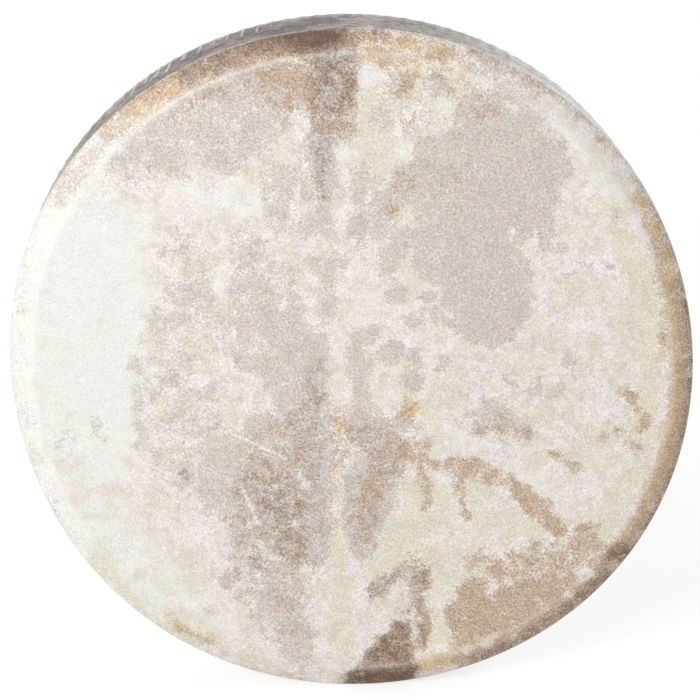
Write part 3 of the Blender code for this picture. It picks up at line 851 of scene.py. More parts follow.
class Shell:
    """Vertices and faces of a round shell, made ring by ring.

    It also keeps each vertex's place on the flat hide, and how strongly it is drawn into a gather.
    """

    def __init__(self):
        self.places = []
        self.flat = []
        self.drawn = []
        self.faces = []

    def vertex(self, angle, radius, depth, out, drawn=0.0):
        self.places.append((radius * math.cos(angle), radius * math.sin(angle), depth))
        self.flat.append((out * math.cos(angle), out * math.sin(angle)))
        self.drawn.append(drawn)
        return len(self.places) - 1

    def ring(self, segments, shape):
        """A ring of vertices, where shape gives radius, depth and flat distance for an angle."""
        angles = [math.tau * index / segments for index in range(segments)]
        return [self.vertex(angle, *shape(angle)) for angle in angles]

    def bridge(self, first, second):
        """Faces between two rings, of which one may have twice the other's vertices."""
        if len(first) == len(second):
            count = len(first)
            for index in range(count):
                after = (index + 1) % count
                self.faces.append((first[index], first[after], second[after], second[index]))
            return
        coarse, fine = sorted((first, second), key=len)
        for index in range(len(coarse)):
            here = coarse[index]
            after = coarse[(index + 1) % len(coarse)]
            left = fine[2 * index]
            middle = fine[2 * index + 1]
            right = fine[(2 * index + 2) % len(fine)]
            self.faces += [(here, middle, left), (here, after, middle), (after, right, middle)]

    def fan(self, centre, ring):
        count = len(ring)
        self.faces += [(centre, ring[index], ring[(index + 1) % count]) for index in range(count)]

    def turned(self, line, ring_at):
        """Rings along an outline that starts on the axis. Returns the last ring and its flat distance."""
        centre = self.vertex(0.0, 0.0, line[0].y, 0.0)
        out = 0.0
        last = None
        for index in range(1, len(line)):
            out += (line[index] - line[index - 1]).length
            ring = ring_at(index, out)
            if last is None:
                self.fan(centre, ring)
            else:
                self.bridge(last, ring)
            last = ring
        return last, out


def segments_at(radius, most):
    """Fewer segments near the head's centre, halved each time the radius halves."""
    segments = most
    limit = COARSE_RADIUS
    while radius < limit and segments > FEWEST_SEGMENTS:
        segments //= 2
        limit /= 2
    return segments


def gather(angle, share, sizes):
    """How strongly the hide is gathered, from 0 to 1, at an angle and a share of the way to the back."""
    slant = sizes.pleat_slant * (1.0 + SLANT_SPREAD * unit_noise(2.0 * math.cos(angle) + 11.0))
    turn = (angle + slant * share) / math.tau * sizes.pleats
    turn += PITCH_SPREAD * unit_noise(turn * 0.31)
    number = math.floor(turn)
    size = min(1.0, max(0.0, 1.0 + RISE_SPREAD * unit_noise(number * 3.71 + 0.5)))
    start = GATHER_START + START_SPREAD * unit_noise(number * 5.37 + 0.2)
    rise = min(max((share - start) / GATHER_RUN, 0.0), 1.0)
    return (0.5 - 0.5 * math.cos(math.tau * turn)) * size * rise * rise * (3.0 - 2.0 * rise)


def hem_edge(angle, sizes):
    """Radius of the hem's cut edge, drawn back between the lace holes."""
    scallop = sizes.hem_scallop * (0.5 + 0.5 * math.cos(HOLES * angle))
    return HEM_EDGE_RADIUS + scallop + EDGE_UNEVENNESS * unit_noise(angle * 23.0)


def hem_band(shell, bend, depth, flat_start, sizes):
    """The flat hem with its holes. Returns the ring of its edge and the loop of each hole."""
    segments = len(bend)
    per_hole = segments // HOLES
    bend_radius = math.hypot(*shell.places[bend[0]][:2])

    def place(radius):
        return radius, depth, flat_start + bend_radius - radius

    edge = shell.ring(segments, lambda angle: place(hem_edge(angle, sizes)))
    spokes = []
    for hole in range(HOLES):
        angle = math.tau * hole / HOLES
        low = hem_edge(angle, sizes)
        spoke = []
        for rung in range(1, HEM_RUNGS):
            radius = bend_radius + (low - bend_radius) * rung / HEM_RUNGS
            spoke.append(shell.vertex(angle, *place(radius)))
        spokes.append(spoke)
    loops = []
    for hole in range(HOLES):
        middle = math.tau * (hole + 0.5) / HOLES
        run = [(hole * per_hole + index) % segments for index in range(per_hole + 1)]
        border = [bend[index] for index in run] + spokes[(hole + 1) % HOLES]
        border += [edge[index] for index in reversed(run)] + spokes[hole][::-1]
        offsets = []
        for vertex in border:
            across, up, _ = shell.places[vertex]
            turn = (math.atan2(up, across) - middle + math.pi) % math.tau - math.pi
            offsets.append(Vector((turn * HOLE_RING_RADIUS, math.hypot(across, up) - HOLE_RING_RADIUS)))
        last = border
        for step in range(1, HOLE_RINGS + 1):
            loop = []
            for offset in offsets:
                way = math.atan2(offset.y, offset.x)
                pull = HOLE_PULL if offset.y > 0 else 1.0
                hole_edge = Vector((math.cos(way), math.sin(way) * pull)) * HOLE_RADIUS
                spot = offset.lerp(hole_edge, step / HOLE_RINGS)
                angle = middle + spot.x / HOLE_RING_RADIUS
                loop.append(shell.vertex(angle, *place(HOLE_RING_RADIUS + spot.y)))
            shell.bridge(last, loop)
            last = loop
        loops.append(last)
    return edge, loops


def head_shell(sizes):
    """The whole hide as one closed shell: head, shoulder, side, back edge, and hem with holes."""
    shell = Shell()
    line = hoop_outline()
    outer = pushed_out(line, SEAT)
    inner = pushed_out(line, SEAT_GAP)
    outer[0].x = inner[0].x = 0.0
    front = HOOP_FRONT - CROWN_DROP
    side_length = front - HOOP_BACK

    def outer_step(start, end):
        if start.y > front + CROWN_DROP and end.y > front + CROWN_DROP:
            return MEMBRANE_STEP
        return SHOULDER_STEP if start.x < HOOP_RADIUS else SIDE_STEP

    outer = filled(outer, outer_step)
    inner = filled(inner, lambda start, end: FLESH_STEP if start.x < BEARING_RADIUS else FLESH_SIDE_STEP)

    def outer_ring(index, out):
        point = outer[index]
        share = (front - point.y) / side_length
        on_side = point.y < front and point.x > HOOP_INNER_RADIUS
        past_back = point.x < HOOP_RADIUS - BACK_TURN and point.y < DRUM_DEPTH / 2
        gathered = on_side or past_back
        segments = segments_at(point.x, HEAD_SEGMENTS)
        if gathered and index < len(outer) - 1:
            segments = SIDE_SEGMENTS
        fade = min(1.0, max(0.0, (point.x - HEM_BEND_RADIUS) / (HOOP_RADIUS - HEM_BEND_RADIUS)))
        ahead = outer[min(index + 1, len(outer) - 1)] - outer[index - 1]
        normal = Vector((-ahead.y, ahead.x)).normalized()

        def shape(angle):
            drawn = gather(angle, min(share, 1.0), sizes) * fade if gathered else 0.0
            lift = sizes.pleat_height * drawn * drawn
            return point.x + normal.x * lift, point.y + normal.y * lift, out, drawn

        return shell.ring(segments, shape)

    def inner_ring(index, out):
        point = inner[index]
        segments = HEAD_SEGMENTS if index == len(inner) - 1 else segments_at(point.x, FLESH_SEGMENTS)
        return shell.ring(segments, lambda angle: (point.x, point.y, out))

    bend, out = shell.turned(outer, outer_ring)
    edge, holes = hem_band(shell, bend, HEM_INSET, out, sizes)
    outer_count = len(shell.places)
    inner_bend, inner_out = shell.turned(inner, inner_ring)
    inner_edge, inner_holes = hem_band(shell, inner_bend, HEM_INSET + SKIN_THICKNESS, inner_out, sizes)
    shell.bridge(edge, inner_edge)
    for hole, inner_hole in zip(holes, inner_holes):
        shell.bridge(hole, inner_hole)
    return shell, outer_count


def stroke_reach(spots, discs):
    """Signed distance from each spot to the chain of discs, in millimetres."""
    nearest = np.full(len(spots), np.inf)
    pairs = list(zip(discs, discs[1:])) or [(discs[0], discs[0])]
    for (x0, y0, r0), (x1, y1, r1) in pairs:
        run = np.array((x1 - x0, y1 - y0), float)
        length = max(float(run @ run), TINY)
        along = (spots[:, 0] - x0) * run[0] + (spots[:, 1] - y0) * run[1]
        share = np.clip(along / length, 0.0, 1.0)
        away = np.hypot(spots[:, 0] - x0 - share * run[0], spots[:, 1] - y0 - share * run[1])
        nearest = np.minimum(nearest, away - (r0 + (r1 - r0) * share))
    return nearest


def covered(reach, softness):
    """One inside a stroke, zero outside it, with an eased edge as wide as the softness."""
    share = np.clip(0.5 - reach / softness, 0.0, 1.0)
    return share * share * (3.0 - 2.0 * share)


def drift(spots, pitch, seed):
    """Two smooth noise values for each spot."""
    levels = (seed, seed + 40.0)
    return np.array([[noise.noise(Vector((x * pitch, y * pitch, z))) for z in levels] for x, y in spots])


def hide_tones(flat):
    """How much of each tone and pigment the hide has at each flat place, with ragged outlines."""
    spots = np.asarray(flat) / MILLIMETRE
    out = np.hypot(spots[:, 0], spots[:, 1])
    wander = drift(spots, WANDER_PITCH, WANDER_SEED)
    ragged = drift(spots, RAGGED_PITCH, RAGGED_SEED)
    loose = np.clip((HEAD_REACH - out) / STEADY_RIM, LEAST_AT_RIM, 1.0)
    loose *= np.clip(np.abs(spots[:, 0] - SPINE_PLACE) / STEADY_SPINE, LEAST_AT_SPINE, 1.0)
    spots = spots + loose[:, None] * (WANDER_REACH * wander + RAGGED_REACH * ragged)
    on_side = np.clip((out - SIDE_START) / SIDE_FADE, 0.0, 1.0)
    amount = {name: np.zeros(len(spots)) for name in TONES + PIGMENTS}

    def laid(strength, softness, discs):
        return strength * covered(stroke_reach(spots, discs), softness)

    for name, strength, softness, discs in HIDE_STROKES:
        amount[name] = np.maximum(amount[name], laid(strength, softness, discs))
    for name, strength, softness, discs in HIDE_SPOTS:
        for disc in discs:
            amount[name] = np.maximum(amount[name], laid(strength, softness, (disc,)))
    for name, strength, softness, discs in SIDE_STROKES:
        amount[name] = np.maximum(amount[name], on_side * laid(strength, softness, discs))
    bare = list(BARE_STROKES)
    for names, strength, softness, discs in BARE_SPOTS:
        bare += [(names, strength, softness, (disc,)) for disc in discs]
    for names, strength, softness, discs in bare:
        kept = 1.0 - laid(strength, softness, discs)
        for name in names:
            amount[name] *= kept
    return amount


def add_tones(mesh, name, channels):
    layer = mesh.attributes.new(name, "FLOAT_COLOR", "POINT")
    layer.data.foreach_set("color", np.stack(channels, axis=1).astype(np.float32).ravel())


class HideFinish(Finish):
    """Rawhide with ragged pigment patches, hair-root stipple, worn edges and a flesh side."""

    def __init__(self, colours):
        super().__init__("mottled rawhide")
        self.colours = colours
        self.place = self.flat("hide")
        self.tilted = self.stretched(self.place, (1.0, 1.0, 1.0), (0.55, 0.40, 0.65))
        self.stipple = self.noise(self.tilted, 880, 2.0, 0.62)
        self.roots = self.ramp(self.stipple, 0.34, 0.66)
        self.fleck = self.noise(self.place, 170, 7.0, 0.70, 0.4)
        self.patchy = self.ramp(self.noise(self.place, 52, 7.0, 0.68, 0.9), 0.45, 0.58)
        channels = self.channels("hide_tones") + self.channels("hide_pigments")
        self.amount = dict(zip(TONES + PIGMENTS, channels))
        browns = self.math("ADD", self.amount["tan"], self.amount["dark"])
        self.pigment = self.math("ADD", self.amount["grey"], browns, clamp=True)

    def centred(self, value, reach):
        """Noise from 0 to 1 turned into a push of half the reach to either side."""
        return self.math("MULTIPLY_ADD", value, reach, -0.5 * reach)

    def layer(self, colour, amount, paint, number, scale, reach, edge, hold):
        """The colour under one more paint, laid in ragged patches that the hair roots break up."""
        place = self.vector("ADD", self.place, (0.7 * number, 0.31 * number, 0.0))
        field = self.math("MULTIPLY_ADD", amount, AMOUNT_GAIN, AMOUNT_LIFT)
        field = self.math("ADD", field, self.centred(self.noise(place, scale, 8.0, 0.62, 0.6), reach))
        field = self.math("ADD", field, self.centred(self.fleck, 0.5 * reach))
        field = self.math("ADD", field, self.centred(self.stipple, 0.5))
        share = self.ramp(field, 0.5 - edge, 0.5 + edge)
        share = self.math("MULTIPLY", share, self.ramp(amount, 0.0, 0.3))
        firm = self.math("MULTIPLY_ADD", self.math("SUBTRACT", amount, 1.0, clamp=True), 2.0, hold)
        rooted = self.math("MULTIPLY_ADD", self.roots, 1.0 - hold, firm, clamp=True)
        return self.mix(self.math("MULTIPLY", share, rooted), colour, paint)

    def unpainted(self):
        """Bare hide with yellowish patches, and grey flecks outside the white places."""
        yellow = self.math("MULTIPLY", self.patchy, 0.80)
        colour = self.mix(yellow, self.colours.bare_hide, self.colours.cream_hide)
        calm = self.math("SUBTRACT", 1.0, self.amount["white"], clamp=True)
        mottle = self.math("MULTIPLY", self.ramp(self.fleck, 0.46, 0.70, 0.0, 0.70), calm)
        return self.mix(mottle, colour, self.colours.grey_pigment)

    def dark_with_shaded_side(self):
        """The dark pigment: brown on the head, and on the side a slate that is partly the hide's own darker
        tone and partly painted shade.
        """
        cloud = self.noise(self.place, 34, 4.0, 0.6)
        slate = self.mix(self.ramp(cloud, 0.44, 0.64), self.colours.slate, self.colours.mauve)
        side = self.ramp(self.vector("LENGTH", self.place), OUTER_LINE, OUTER_LINE + MILLIMETRE)
        return self.mix(side, self.colours.dark_pigment, slate)

    def painted(self, colour):
        """The colour under all the layers of tone and pigment."""
        paints = {
            "cream": self.colours.cream_hide,
            "amber": self.colours.amber_hide,
            "white": self.colours.white_hide,
            "grey": self.colours.grey_pigment,
            "tan": self.colours.tan_pigment,
            "dark": self.dark_with_shaded_side(),
        }
        for name, *look in HIDE_LAYERS:
            colour = self.layer(colour, self.amount[name], paints[name], *look)
        return colour

    def scratch(self, start, end, half_width):
        """One where a fine straight scratch runs over the flat hide, and zero elsewhere."""
        first = Vector((*start, 0.0)) * MILLIMETRE
        run = Vector((*end, 0.0)) * MILLIMETRE - first
        offset = self.vector("SUBTRACT", self.place, first)
        along = self.math("DIVIDE", self.vector("DOT_PRODUCT", offset, run), run.length_squared, clamp=True)
        away = self.vector("LENGTH", self.vector("SUBTRACT", offset, self.vector("SCALE", run, along)))
        return self.ramp(away, half_width * MILLIMETRE, 0.2 * half_width * MILLIMETRE)

    def scratched(self, colour):
        broken = self.ramp(self.fleck, 0.35, 0.6, 0.25, 0.85)
        for scratch in SCRATCHES:
            mask = self.math("MULTIPLY", self.scratch(*scratch), broken)
            colour = self.mix(mask, colour, self.colours.white_hide)
        return colour

    def shaded(self, colour):
        """The colour with a rose or olive cast, and lighter and darker hair roots, least on white hide."""
        white = self.amount["white"]
        cream = self.math("MULTIPLY", self.amount["cream"], 0.60)
        olive = self.math("MULTIPLY_ADD", self.patchy, 0.45, cream, clamp=True)
        colour = self.mix(1.0, colour, self.mix(olive, ROSE_TINT, OLIVE_TINT), "MULTIPLY")
        speckle = self.noise(self.tilted, 430, 2.0, 0.6, output="Color")
        colour = self.mix(0.25, colour, speckle, "OVERLAY")
        depth = self.math("MULTIPLY_ADD", self.pigment, 0.35, 1.0)
        depth = self.math("MULTIPLY", depth, self.math("MULTIPLY_ADD", white, -0.40, 1.0))
        blotch = self.centred(self.noise(self.place, 90, 3.0, 0.6, 0.4), -0.35)
        uneven = self.math("MULTIPLY", blotch, self.math("MULTIPLY_ADD", white, -0.7, 1.0))
        stippled = self.centred(self.stipple, -1.0)
        shade = self.math("MULTIPLY_ADD", stippled, depth, self.math("ADD", uneven, 1.0))
        return self.mix(1.0, colour, shade, "MULTIPLY")

    def rubbed(self, colour):
        """The colour with pale edges and pale crests on the gathers, partly rubbed hide and partly painted
        highlight.
        """
        edge = self.ramp(self.fleck, 0.38, 0.62, 0.2, 0.85)
        edge = self.math("MULTIPLY", self.amount["wear"], edge)
        colour = self.mix(edge, colour, self.colours.white_hide)
        crest = self.ramp(self.attribute("gather").outputs["Fac"], 0.76, 0.94)
        crest = self.math("MULTIPLY", crest, self.ramp(self.fleck, 0.35, 0.58, 0.20, 0.85))
        return self.mix(crest, colour, self.colours.bare_hide)

    def inside(self):
        """The flesh side, with veins and with pigment showing through."""
        veins = self.noise(self.place, 26, 5.0, 0.55, 1.2)
        vein = self.math("ABSOLUTE", self.math("SUBTRACT", veins, 0.5))
        pale = self.ramp(self.fleck, 0.3, 0.75)
        colour = self.mix(pale, self.colours.flesh_side, self.colours.bare_hide)
        colour = self.mix(self.ramp(vein, 0.03, 0.0, 0.0, 0.35), colour, self.colours.tan_pigment)
        return self.mix(self.math("MULTIPLY", self.pigment, 0.35), colour, self.colours.tan_pigment)

    def made(self):
        colour = self.scratched(self.painted(self.unpainted()))
        colour = self.rubbed(self.shaded(colour))
        colour = self.mix(self.amount["flesh"], colour, self.inside())
        grain = self.math("MULTIPLY", self.stipple, 0.4)
        self.bump(self.math("ADD", grain, self.math("MULTIPLY", self.fleck, 0.5)), 0.25, 0.0006)
        return self.finish(colour, self.ramp(self.fleck, 0.25, 0.75, 0.40, 0.58))


def bell(value, middle, width, power=2):
    """One at the middle, falling away on both sides."""
    return np.exp(-(((value - middle) / width) ** power))


def rubbed_and_highlit_edges(flat):
    """Pale lines where the hide bends over the bearing edge and the hoop's outer edge: partly rubbed hide,
    partly painted highlight, strongest on the bearing edge at the left and upper left and on the outer edge
    at the top.
    """
    out = np.hypot(flat[:, 0], flat[:, 1])
    angle = np.degrees(np.arctan2(flat[:, 1], flat[:, 0]))
    left = bell(angle, 165, 38) + bell(angle, -195, 38)
    upper_left = bell(angle, 118, 22)
    top = bell(angle, 108, 20)
    bearing = bell(out, BEARING_LINE, BEARING_PALE_WIDTH) * np.minimum(0.40 + 0.60 * left + 0.55 * upper_left, 1.0)
    outer = bell(out, OUTER_LINE, OUTER_PALE_WIDTH) * (0.20 + 0.6 * top)
    return np.maximum(bearing, outer)


def rubbed_and_highlit_gathers(shell):
    """How pale each gather's crest is painted: partly rubbed hide, partly painted highlight, most at the
    upper left where the light glances.
    """
    flat = np.asarray(shell.flat)
    angle = np.degrees(np.arctan2(flat[:, 1], flat[:, 0]))
    return np.asarray(shell.drawn) * (0.7 + 0.3 * bell(angle, 120, 20, 4))


def make_head(context):
    sizes = context.scene.drum_sizes
    shell, outer_count = head_shell(sizes)
    mesh = closed_mesh("rawhide_head", shell.places, shell.faces)
    amount = hide_tones(shell.flat)
    amount["flesh"][outer_count:] = 1.0
    amount["wear"] = rubbed_and_highlit_edges(np.asarray(shell.flat))
    add_flat_map(mesh, "hide", shell.flat)
    gathers = mesh.attributes.new("gather", "FLOAT", "POINT")
    gathers.data.foreach_set("value", rubbed_and_highlit_gathers(shell).astype(np.float32))
    add_tones(mesh, "hide_tones", [amount[name] for name in TONES])
    add_tones(mesh, "hide_pigments", [amount[name] for name in PIGMENTS])
    mesh.materials.append(HideFinish(context.scene.drum_colours).made())
    piece = settle("rawhide_head", mesh, "hide", "head_skin")


def ash_finish(colours):
    """Bent ash: long grain round the hoop and open pores."""
    finish = Finish("bent ash")
    flat = finish.flat("lath")
    broad = finish.noise(finish.stretched(flat, (5.0, 150.0, 1.0)), 1.0, 3.0, 0.55, 0.6)
    streak = finish.noise(finish.stretched(flat, (14.0, 900.0, 1.0)), 1.0, 3.0, 0.6)
    pore = finish.noise(finish.stretched(flat, (60.0, 2600.0, 1.0)), 1.0, 2.0, 0.5)
    colour = finish.mix(finish.ramp(broad, 0.38, 0.66), colours.ash, colours.ash_streak)
    colour = finish.mix(finish.ramp(streak, 0.42, 0.72, 0.0, 0.55), colour, colours.ash_streak)
    dark = finish.ramp(pore, 0.58, 0.72, 1.0, 0.62)
    colour = finish.mix(1.0, colour, dark, "MULTIPLY")
    finish.bump(finish.math("ADD", streak, finish.math("MULTIPLY", pore, 0.8)), 0.25, 0.0004)
    return finish.finish(colour, finish.ramp(streak, 0.3, 0.7, 0.42, 0.6))


def lath_section(inside, outside, outermost):
    """Corners (radius, depth) of one lath's section under the skin's seat."""
    line = hoop_outline()

    def on_back(point):
        return point.y < HOOP_BACK + TOUCH and point.x < HOOP_RADIUS - BACK_FLAT

    hem = next(index for index, point in enumerate(line) if on_back(point))
    polygon = [point for point in line[:hem] if point.x > 0.0]
    front = [point for point in polygon if point.y > DRUM_DEPTH / 2]
    back = [point for point in polygon if point.y <= DRUM_DEPTH / 2]

    def depth_at(radius):
        for start, end in zip(front, front[1:]):
            if start.x <= radius <= end.x:
                return start.y + (end.y - start.y) * (radius - start.x) / max(end.x - start.x, TINY)
        return HOOP_FRONT

    section = [Vector((inside, depth_at(inside)))]
    section += [point for point in front if inside < point.x < outside - NUDGE]
    if outermost:
        section += [point for point in front if point.x >= outside - NUDGE]
        section += [point for point in back if point.x > inside]
    else:
        section += [Vector((outside, depth_at(outside))), Vector((outside, HOOP_BACK))]
    section.append(Vector((inside, HOOP_BACK)))
    return filled(section + section[:1], lambda start, end: SECTION_STEP)[:-1]


def make_lath(name, inside, outside, outermost, scarf_angle):
    """A lath bent round to a ring, its ends cut to one slanting scarf."""
    section = lath_section(inside, outside, outermost)
    lean = SCARF_LENGTH / (inside + outside)
    gap = SEAT_GAP / (outside - inside) * SCARF_LENGTH / outside
    places = []
    flat = []
    across = np.concatenate([[0.0], np.cumsum([(b - a).length for a, b in zip(section, section[1:])])])
    for step in range(LATH_SEGMENTS + 1):
        for point, over in zip(section, across):
            start = math.radians(scarf_angle) + lean * (2.0 * (point.x - inside) / (outside - inside) - 1.0)
            angle = start + gap / 2 + (math.tau - gap) * step / LATH_SEGMENTS
            places.append((point.x * math.cos(angle), point.x * math.sin(angle), point.y))
            flat.append((HOOP_RADIUS * math.tau * step / LATH_SEGMENTS, over))
    count = len(section)
    faces = []
    for step in range(LATH_SEGMENTS):
        for index in range(count):
            here = step * count + index
            after = step * count + (index + 1) % count
            faces.append((here, after, after + count, here + count))
    faces.append(tuple(range(count)))
    faces.append(tuple(LATH_SEGMENTS * count + index for index in reversed(range(count))))
    mesh = closed_mesh(name, places, faces)
    mesh.set_sharp_from_angle(angle=CREASE_ANGLE)
    add_flat_map(mesh, "lath", flat)
    return mesh


def make_hoop(context):
    ash = ash_finish(context.scene.drum_colours)
    outside = HOOP_RADIUS
    for name, scarf_angle in zip(LATH_NAMES, LATH_SCARF_ANGLES):
        inside = outside - LATH_THICKNESS
        mesh = make_lath("bent_lath_" + name, inside, outside, name == "outer", scarf_angle)
        mesh.materials.append(ash)
        settle("bent_lath_" + name, mesh, "ash", name + "_ply")
        outside = inside - SEAT_GAP


class Tree(Nodes):
    """A geometry node tree with named inputs."""

    def __init__(self, name, inputs):
        super().__init__(bpy.data.node_groups.new(name, "GeometryNodeTree"))
        sockets = self.tree.interface
        sockets.new_socket("Geometry", in_out="INPUT", socket_type="NodeSocketGeometry")
        for label, kind in inputs:
            sockets.new_socket(label, in_out="INPUT", socket_type="NodeSocket" + kind)
        sockets.new_socket("Geometry", in_out="OUTPUT", socket_type="NodeSocketGeometry")
        self.given = self.add("NodeGroupInput").outputs
        self.result = self.add("NodeGroupOutput").inputs[0]

    def node(self, kind, settings=None, **inputs):
        """A node with its inputs given by name, with underscores for spaces."""
        node = self.add(kind, **(settings or {}))
        for name, value in inputs.items():
            self.feed(node.inputs[name.replace("_", " ")], value)
        return node

    def named(self, name, kind):
        node = self.node("GeometryNodeInputNamedAttribute", {"data_type": kind}, Name=name)
        return node.outputs["Attribute"]

    def marked(self, geometry, name, value):
        """The geometry with a vector stored on its points."""
        settings = {"data_type": "FLOAT_VECTOR", "domain": "POINT"}
        inputs = {"Geometry": geometry, "Name": name, "Value": value}
        return self.node("GeometryNodeStoreNamedAttribute", settings, **inputs).outputs["Geometry"]

    def finish(self, geometry):
        """Ends the tree with real, painted geometry."""
        real = self.node("GeometryNodeRealizeInstances", Geometry=geometry)
        painted = self.node(
            "GeometryNodeSetMaterial", Geometry=real.outputs["Geometry"], Material=self.given["Material"]
        )
        self.feed(self.result, painted.outputs["Geometry"])
        return self.tree


def strand_tree():
    """Sweeps a flattened, slightly uneven strand along the line it is given."""
    tree = Tree(
        "strand along a line",
        (
            ("Width", "Float"),
            ("Thickness", "Float"),
            ("Twist", "Float"),
            ("Unevenness", "Float"),
            ("Sides", "Int"),
            ("Material", "Material"),
        ),
    )
    given = tree.given
    line = tree.node("GeometryNodeMeshToCurve", Mesh=given["Geometry"])
    laid = tree.node(
        "GeometryNodeSetCurveNormal",
        {"mode": "FREE"},
        Curve=line.outputs["Curve"],
        Normal=tree.named("lay", "FLOAT_VECTOR"),
    )
    turns = tree.math("MULTIPLY", tree.named("along", "FLOAT"), given["Twist"])
    tilt = tree.math("MULTIPLY", turns, math.tau)
    tilted = tree.node("GeometryNodeSetCurveTilt", Curve=laid.outputs["Curve"], Tilt=tilt)
    circle = tree.node(
        "GeometryNodeCurvePrimitiveCircle", {"mode": "RADIUS"}, Resolution=given["Sides"], Radius=1.0
    )
    place = tree.add("GeometryNodeInputPosition").outputs["Position"]
    half_size = tree.node(
        "ShaderNodeCombineXYZ",
        X=tree.math("MULTIPLY", given["Thickness"], 0.5),
        Y=tree.math("MULTIPLY", given["Width"], 0.5),
        Z=1.0,
    )
    profile = tree.node(
        "GeometryNodeTransform",
        Geometry=tree.marked(circle.outputs["Curve"], "around", place),
        Scale=half_size.outputs["Vector"],
    )
    swept = tree.node(
        "GeometryNodeCurveToMesh",
        Curve=tilted.outputs["Curve"],
        Profile_Curve=profile.outputs["Geometry"],
        Scale=tree.named("girth", "FLOAT"),
        Fill_Caps=True,
    )
    rough = tree.math("SUBTRACT", tree.noise(place, STRAND_GRAIN), 0.5)
    normal = tree.add("GeometryNodeInputNormal").outputs["Normal"]
    push = tree.vector("SCALE", normal, tree.math("MULTIPLY", rough, given["Unevenness"]))
    uneven = tree.node("GeometryNodeSetPosition", Geometry=swept.outputs["Mesh"], Offset=push)
    smooth = tree.node("GeometryNodeSetShadeSmooth", Geometry=uneven.outputs["Geometry"])
    return tree.finish(smooth.outputs["Geometry"])


def strand_values(material, width, thickness, sides, unevenness, twist=0.0):
    """What the tree of strands is given."""
    return {
        "Width": width,
        "Thickness": thickness,
        "Twist": twist,
        "Unevenness": unevenness,
        "Sides": sides,
        "Material": material,
    }


def grown(name, source, tree, values):
    """The plain mesh that a tree grows from a source mesh."""
    seed = add_piece(name + "_seed", source)
    modifier = seed.modifiers.new("grow", "NODES")
    modifier.node_group = tree
    for item in tree.interface.items_tree:
        if item.item_type == "SOCKET" and item.in_out == "INPUT" and item.name in values:
            modifier[item.identifier] = values[item.name]
    shown = seed.evaluated_get(bpy.context.evaluated_depsgraph_get())
    mesh = bpy.data.meshes.new_from_object(shown)
    mesh.name = name
    seed.modifiers.remove(modifier)
    bpy.data.objects.remove(seed)
    if not mesh.polygons:
        raise RuntimeError(f"{name} came out empty")
    return mesh


def line_mesh(name, line, lay, girth, cyclic=False):
    """A line of drum coordinates as edges, with its lay, its girth and the length along it on each point."""
    places = upright(bent([tuple(point) for point in line]))
    count = len(places)
    edges = [(index, index + 1) for index in range(count - 1)]
    if cyclic:
        edges.append((count - 1, 0))
    mesh = bpy.data.meshes.new(name)
    mesh.from_pydata(places.tolist(), edges, [])
    along = np.concatenate([[0.0], np.cumsum(np.linalg.norm(np.diff(places, axis=0), axis=1))])
    tangent = np.gradient(places, axis=0)
    tangent /= np.linalg.norm(tangent, axis=1)[:, None]
    if lay is None:
        side = np.array((0.0, 1.0, 0.0))
        turned = []
        for direction in tangent:
            side = side - (side @ direction) * direction
            side = side / np.linalg.norm(side)
            turned.append(side)
        turned = np.array(turned)
    else:
        turned = upright(np.asarray([tuple(way) for way in lay], float)) - np.array((0.0, BACK_PLANE, 0.0))
        turned = turned - np.sum(turned * tangent, axis=1)[:, None] * tangent
        turned /= np.linalg.norm(turned, axis=1)[:, None]
    for label, kind, field, values in (
        ("along", "FLOAT", "value", along),
        ("girth", "FLOAT", "value", girth),
        ("lay", "FLOAT_VECTOR", "vector", turned),
    ):
        layer = mesh.attributes.new(label, kind, "POINT")
        layer.data.foreach_set(field, np.asarray(values, np.float32).ravel())
    return mesh


def on_arm(arm, along, across, depth):
    """A point given along and across one arm of the grip cross."""
    angle = math.tau * arm / len(ARM_NAMES)
    return Vector(
        (
            along * math.cos(angle) - across * math.sin(angle),
            along * math.sin(angle) + across * math.cos(angle),
            depth,
        )
    )


def at_hole(arm, hole, depth):
    offset = (hole - (HOLES_PER_ARM - 1) / 2) * math.tau / HOLES
    return on_arm(arm, HOLE_RING_RADIUS * math.cos(offset), HOLE_RING_RADIUS * math.sin(offset), depth)


def strand_across(loop):
    """Sideways place of one loop round the ring, counted from one side of the arm to the other."""
    return STRAND_PITCH * (loop - (STRANDS_PER_LAYER - 1) / 2)


def loop_corners(arm, loop, layer_in):
    """A lace's turn round the ring wire: in on one layer of the arm, out on the other."""
    across = strand_across(loop)
    ring = math.sqrt(RING_RADIUS**2 - across**2)
    lead = ring + ARM_LEAD
    strand = layer_in * BUNDLE_HALF_HEIGHT
    side = layer_in * LOOP_RADIUS
    return [
        (on_arm(arm, lead, across, GRIP_DEPTH + strand), LEAD_BEND),
        (on_arm(arm, ring + LACE_DIAMETER / 2, across, GRIP_DEPTH + side), WIRE_BEND),
        (on_arm(arm, ring - LOOP_RADIUS, across, GRIP_DEPTH + side), LOOP_RADIUS),
        (on_arm(arm, ring - LOOP_RADIUS, across, GRIP_DEPTH - side), LOOP_RADIUS),
        (on_arm(arm, ring + LACE_DIAMETER / 2, across, GRIP_DEPTH - side), WIRE_BEND),
        (on_arm(arm, lead, across, GRIP_DEPTH - strand), LEAD_BEND),
    ]


def fan_corner(arm, loop, layer):
    """Where a strand leaves the wrap and turns towards its hole."""
    depth = GRIP_DEPTH + layer * BUNDLE_HALF_HEIGHT
    return on_arm(arm, FAN_START, strand_across(loop), depth), FAN_REACH


def tail_end(arm, loop, layer):
    depth = GRIP_DEPTH + layer * BUNDLE_HALF_HEIGHT
    return on_arm(arm, RING_RADIUS + ARM_LEAD + TAIL_LENGTH, strand_across(loop), depth), 0.0


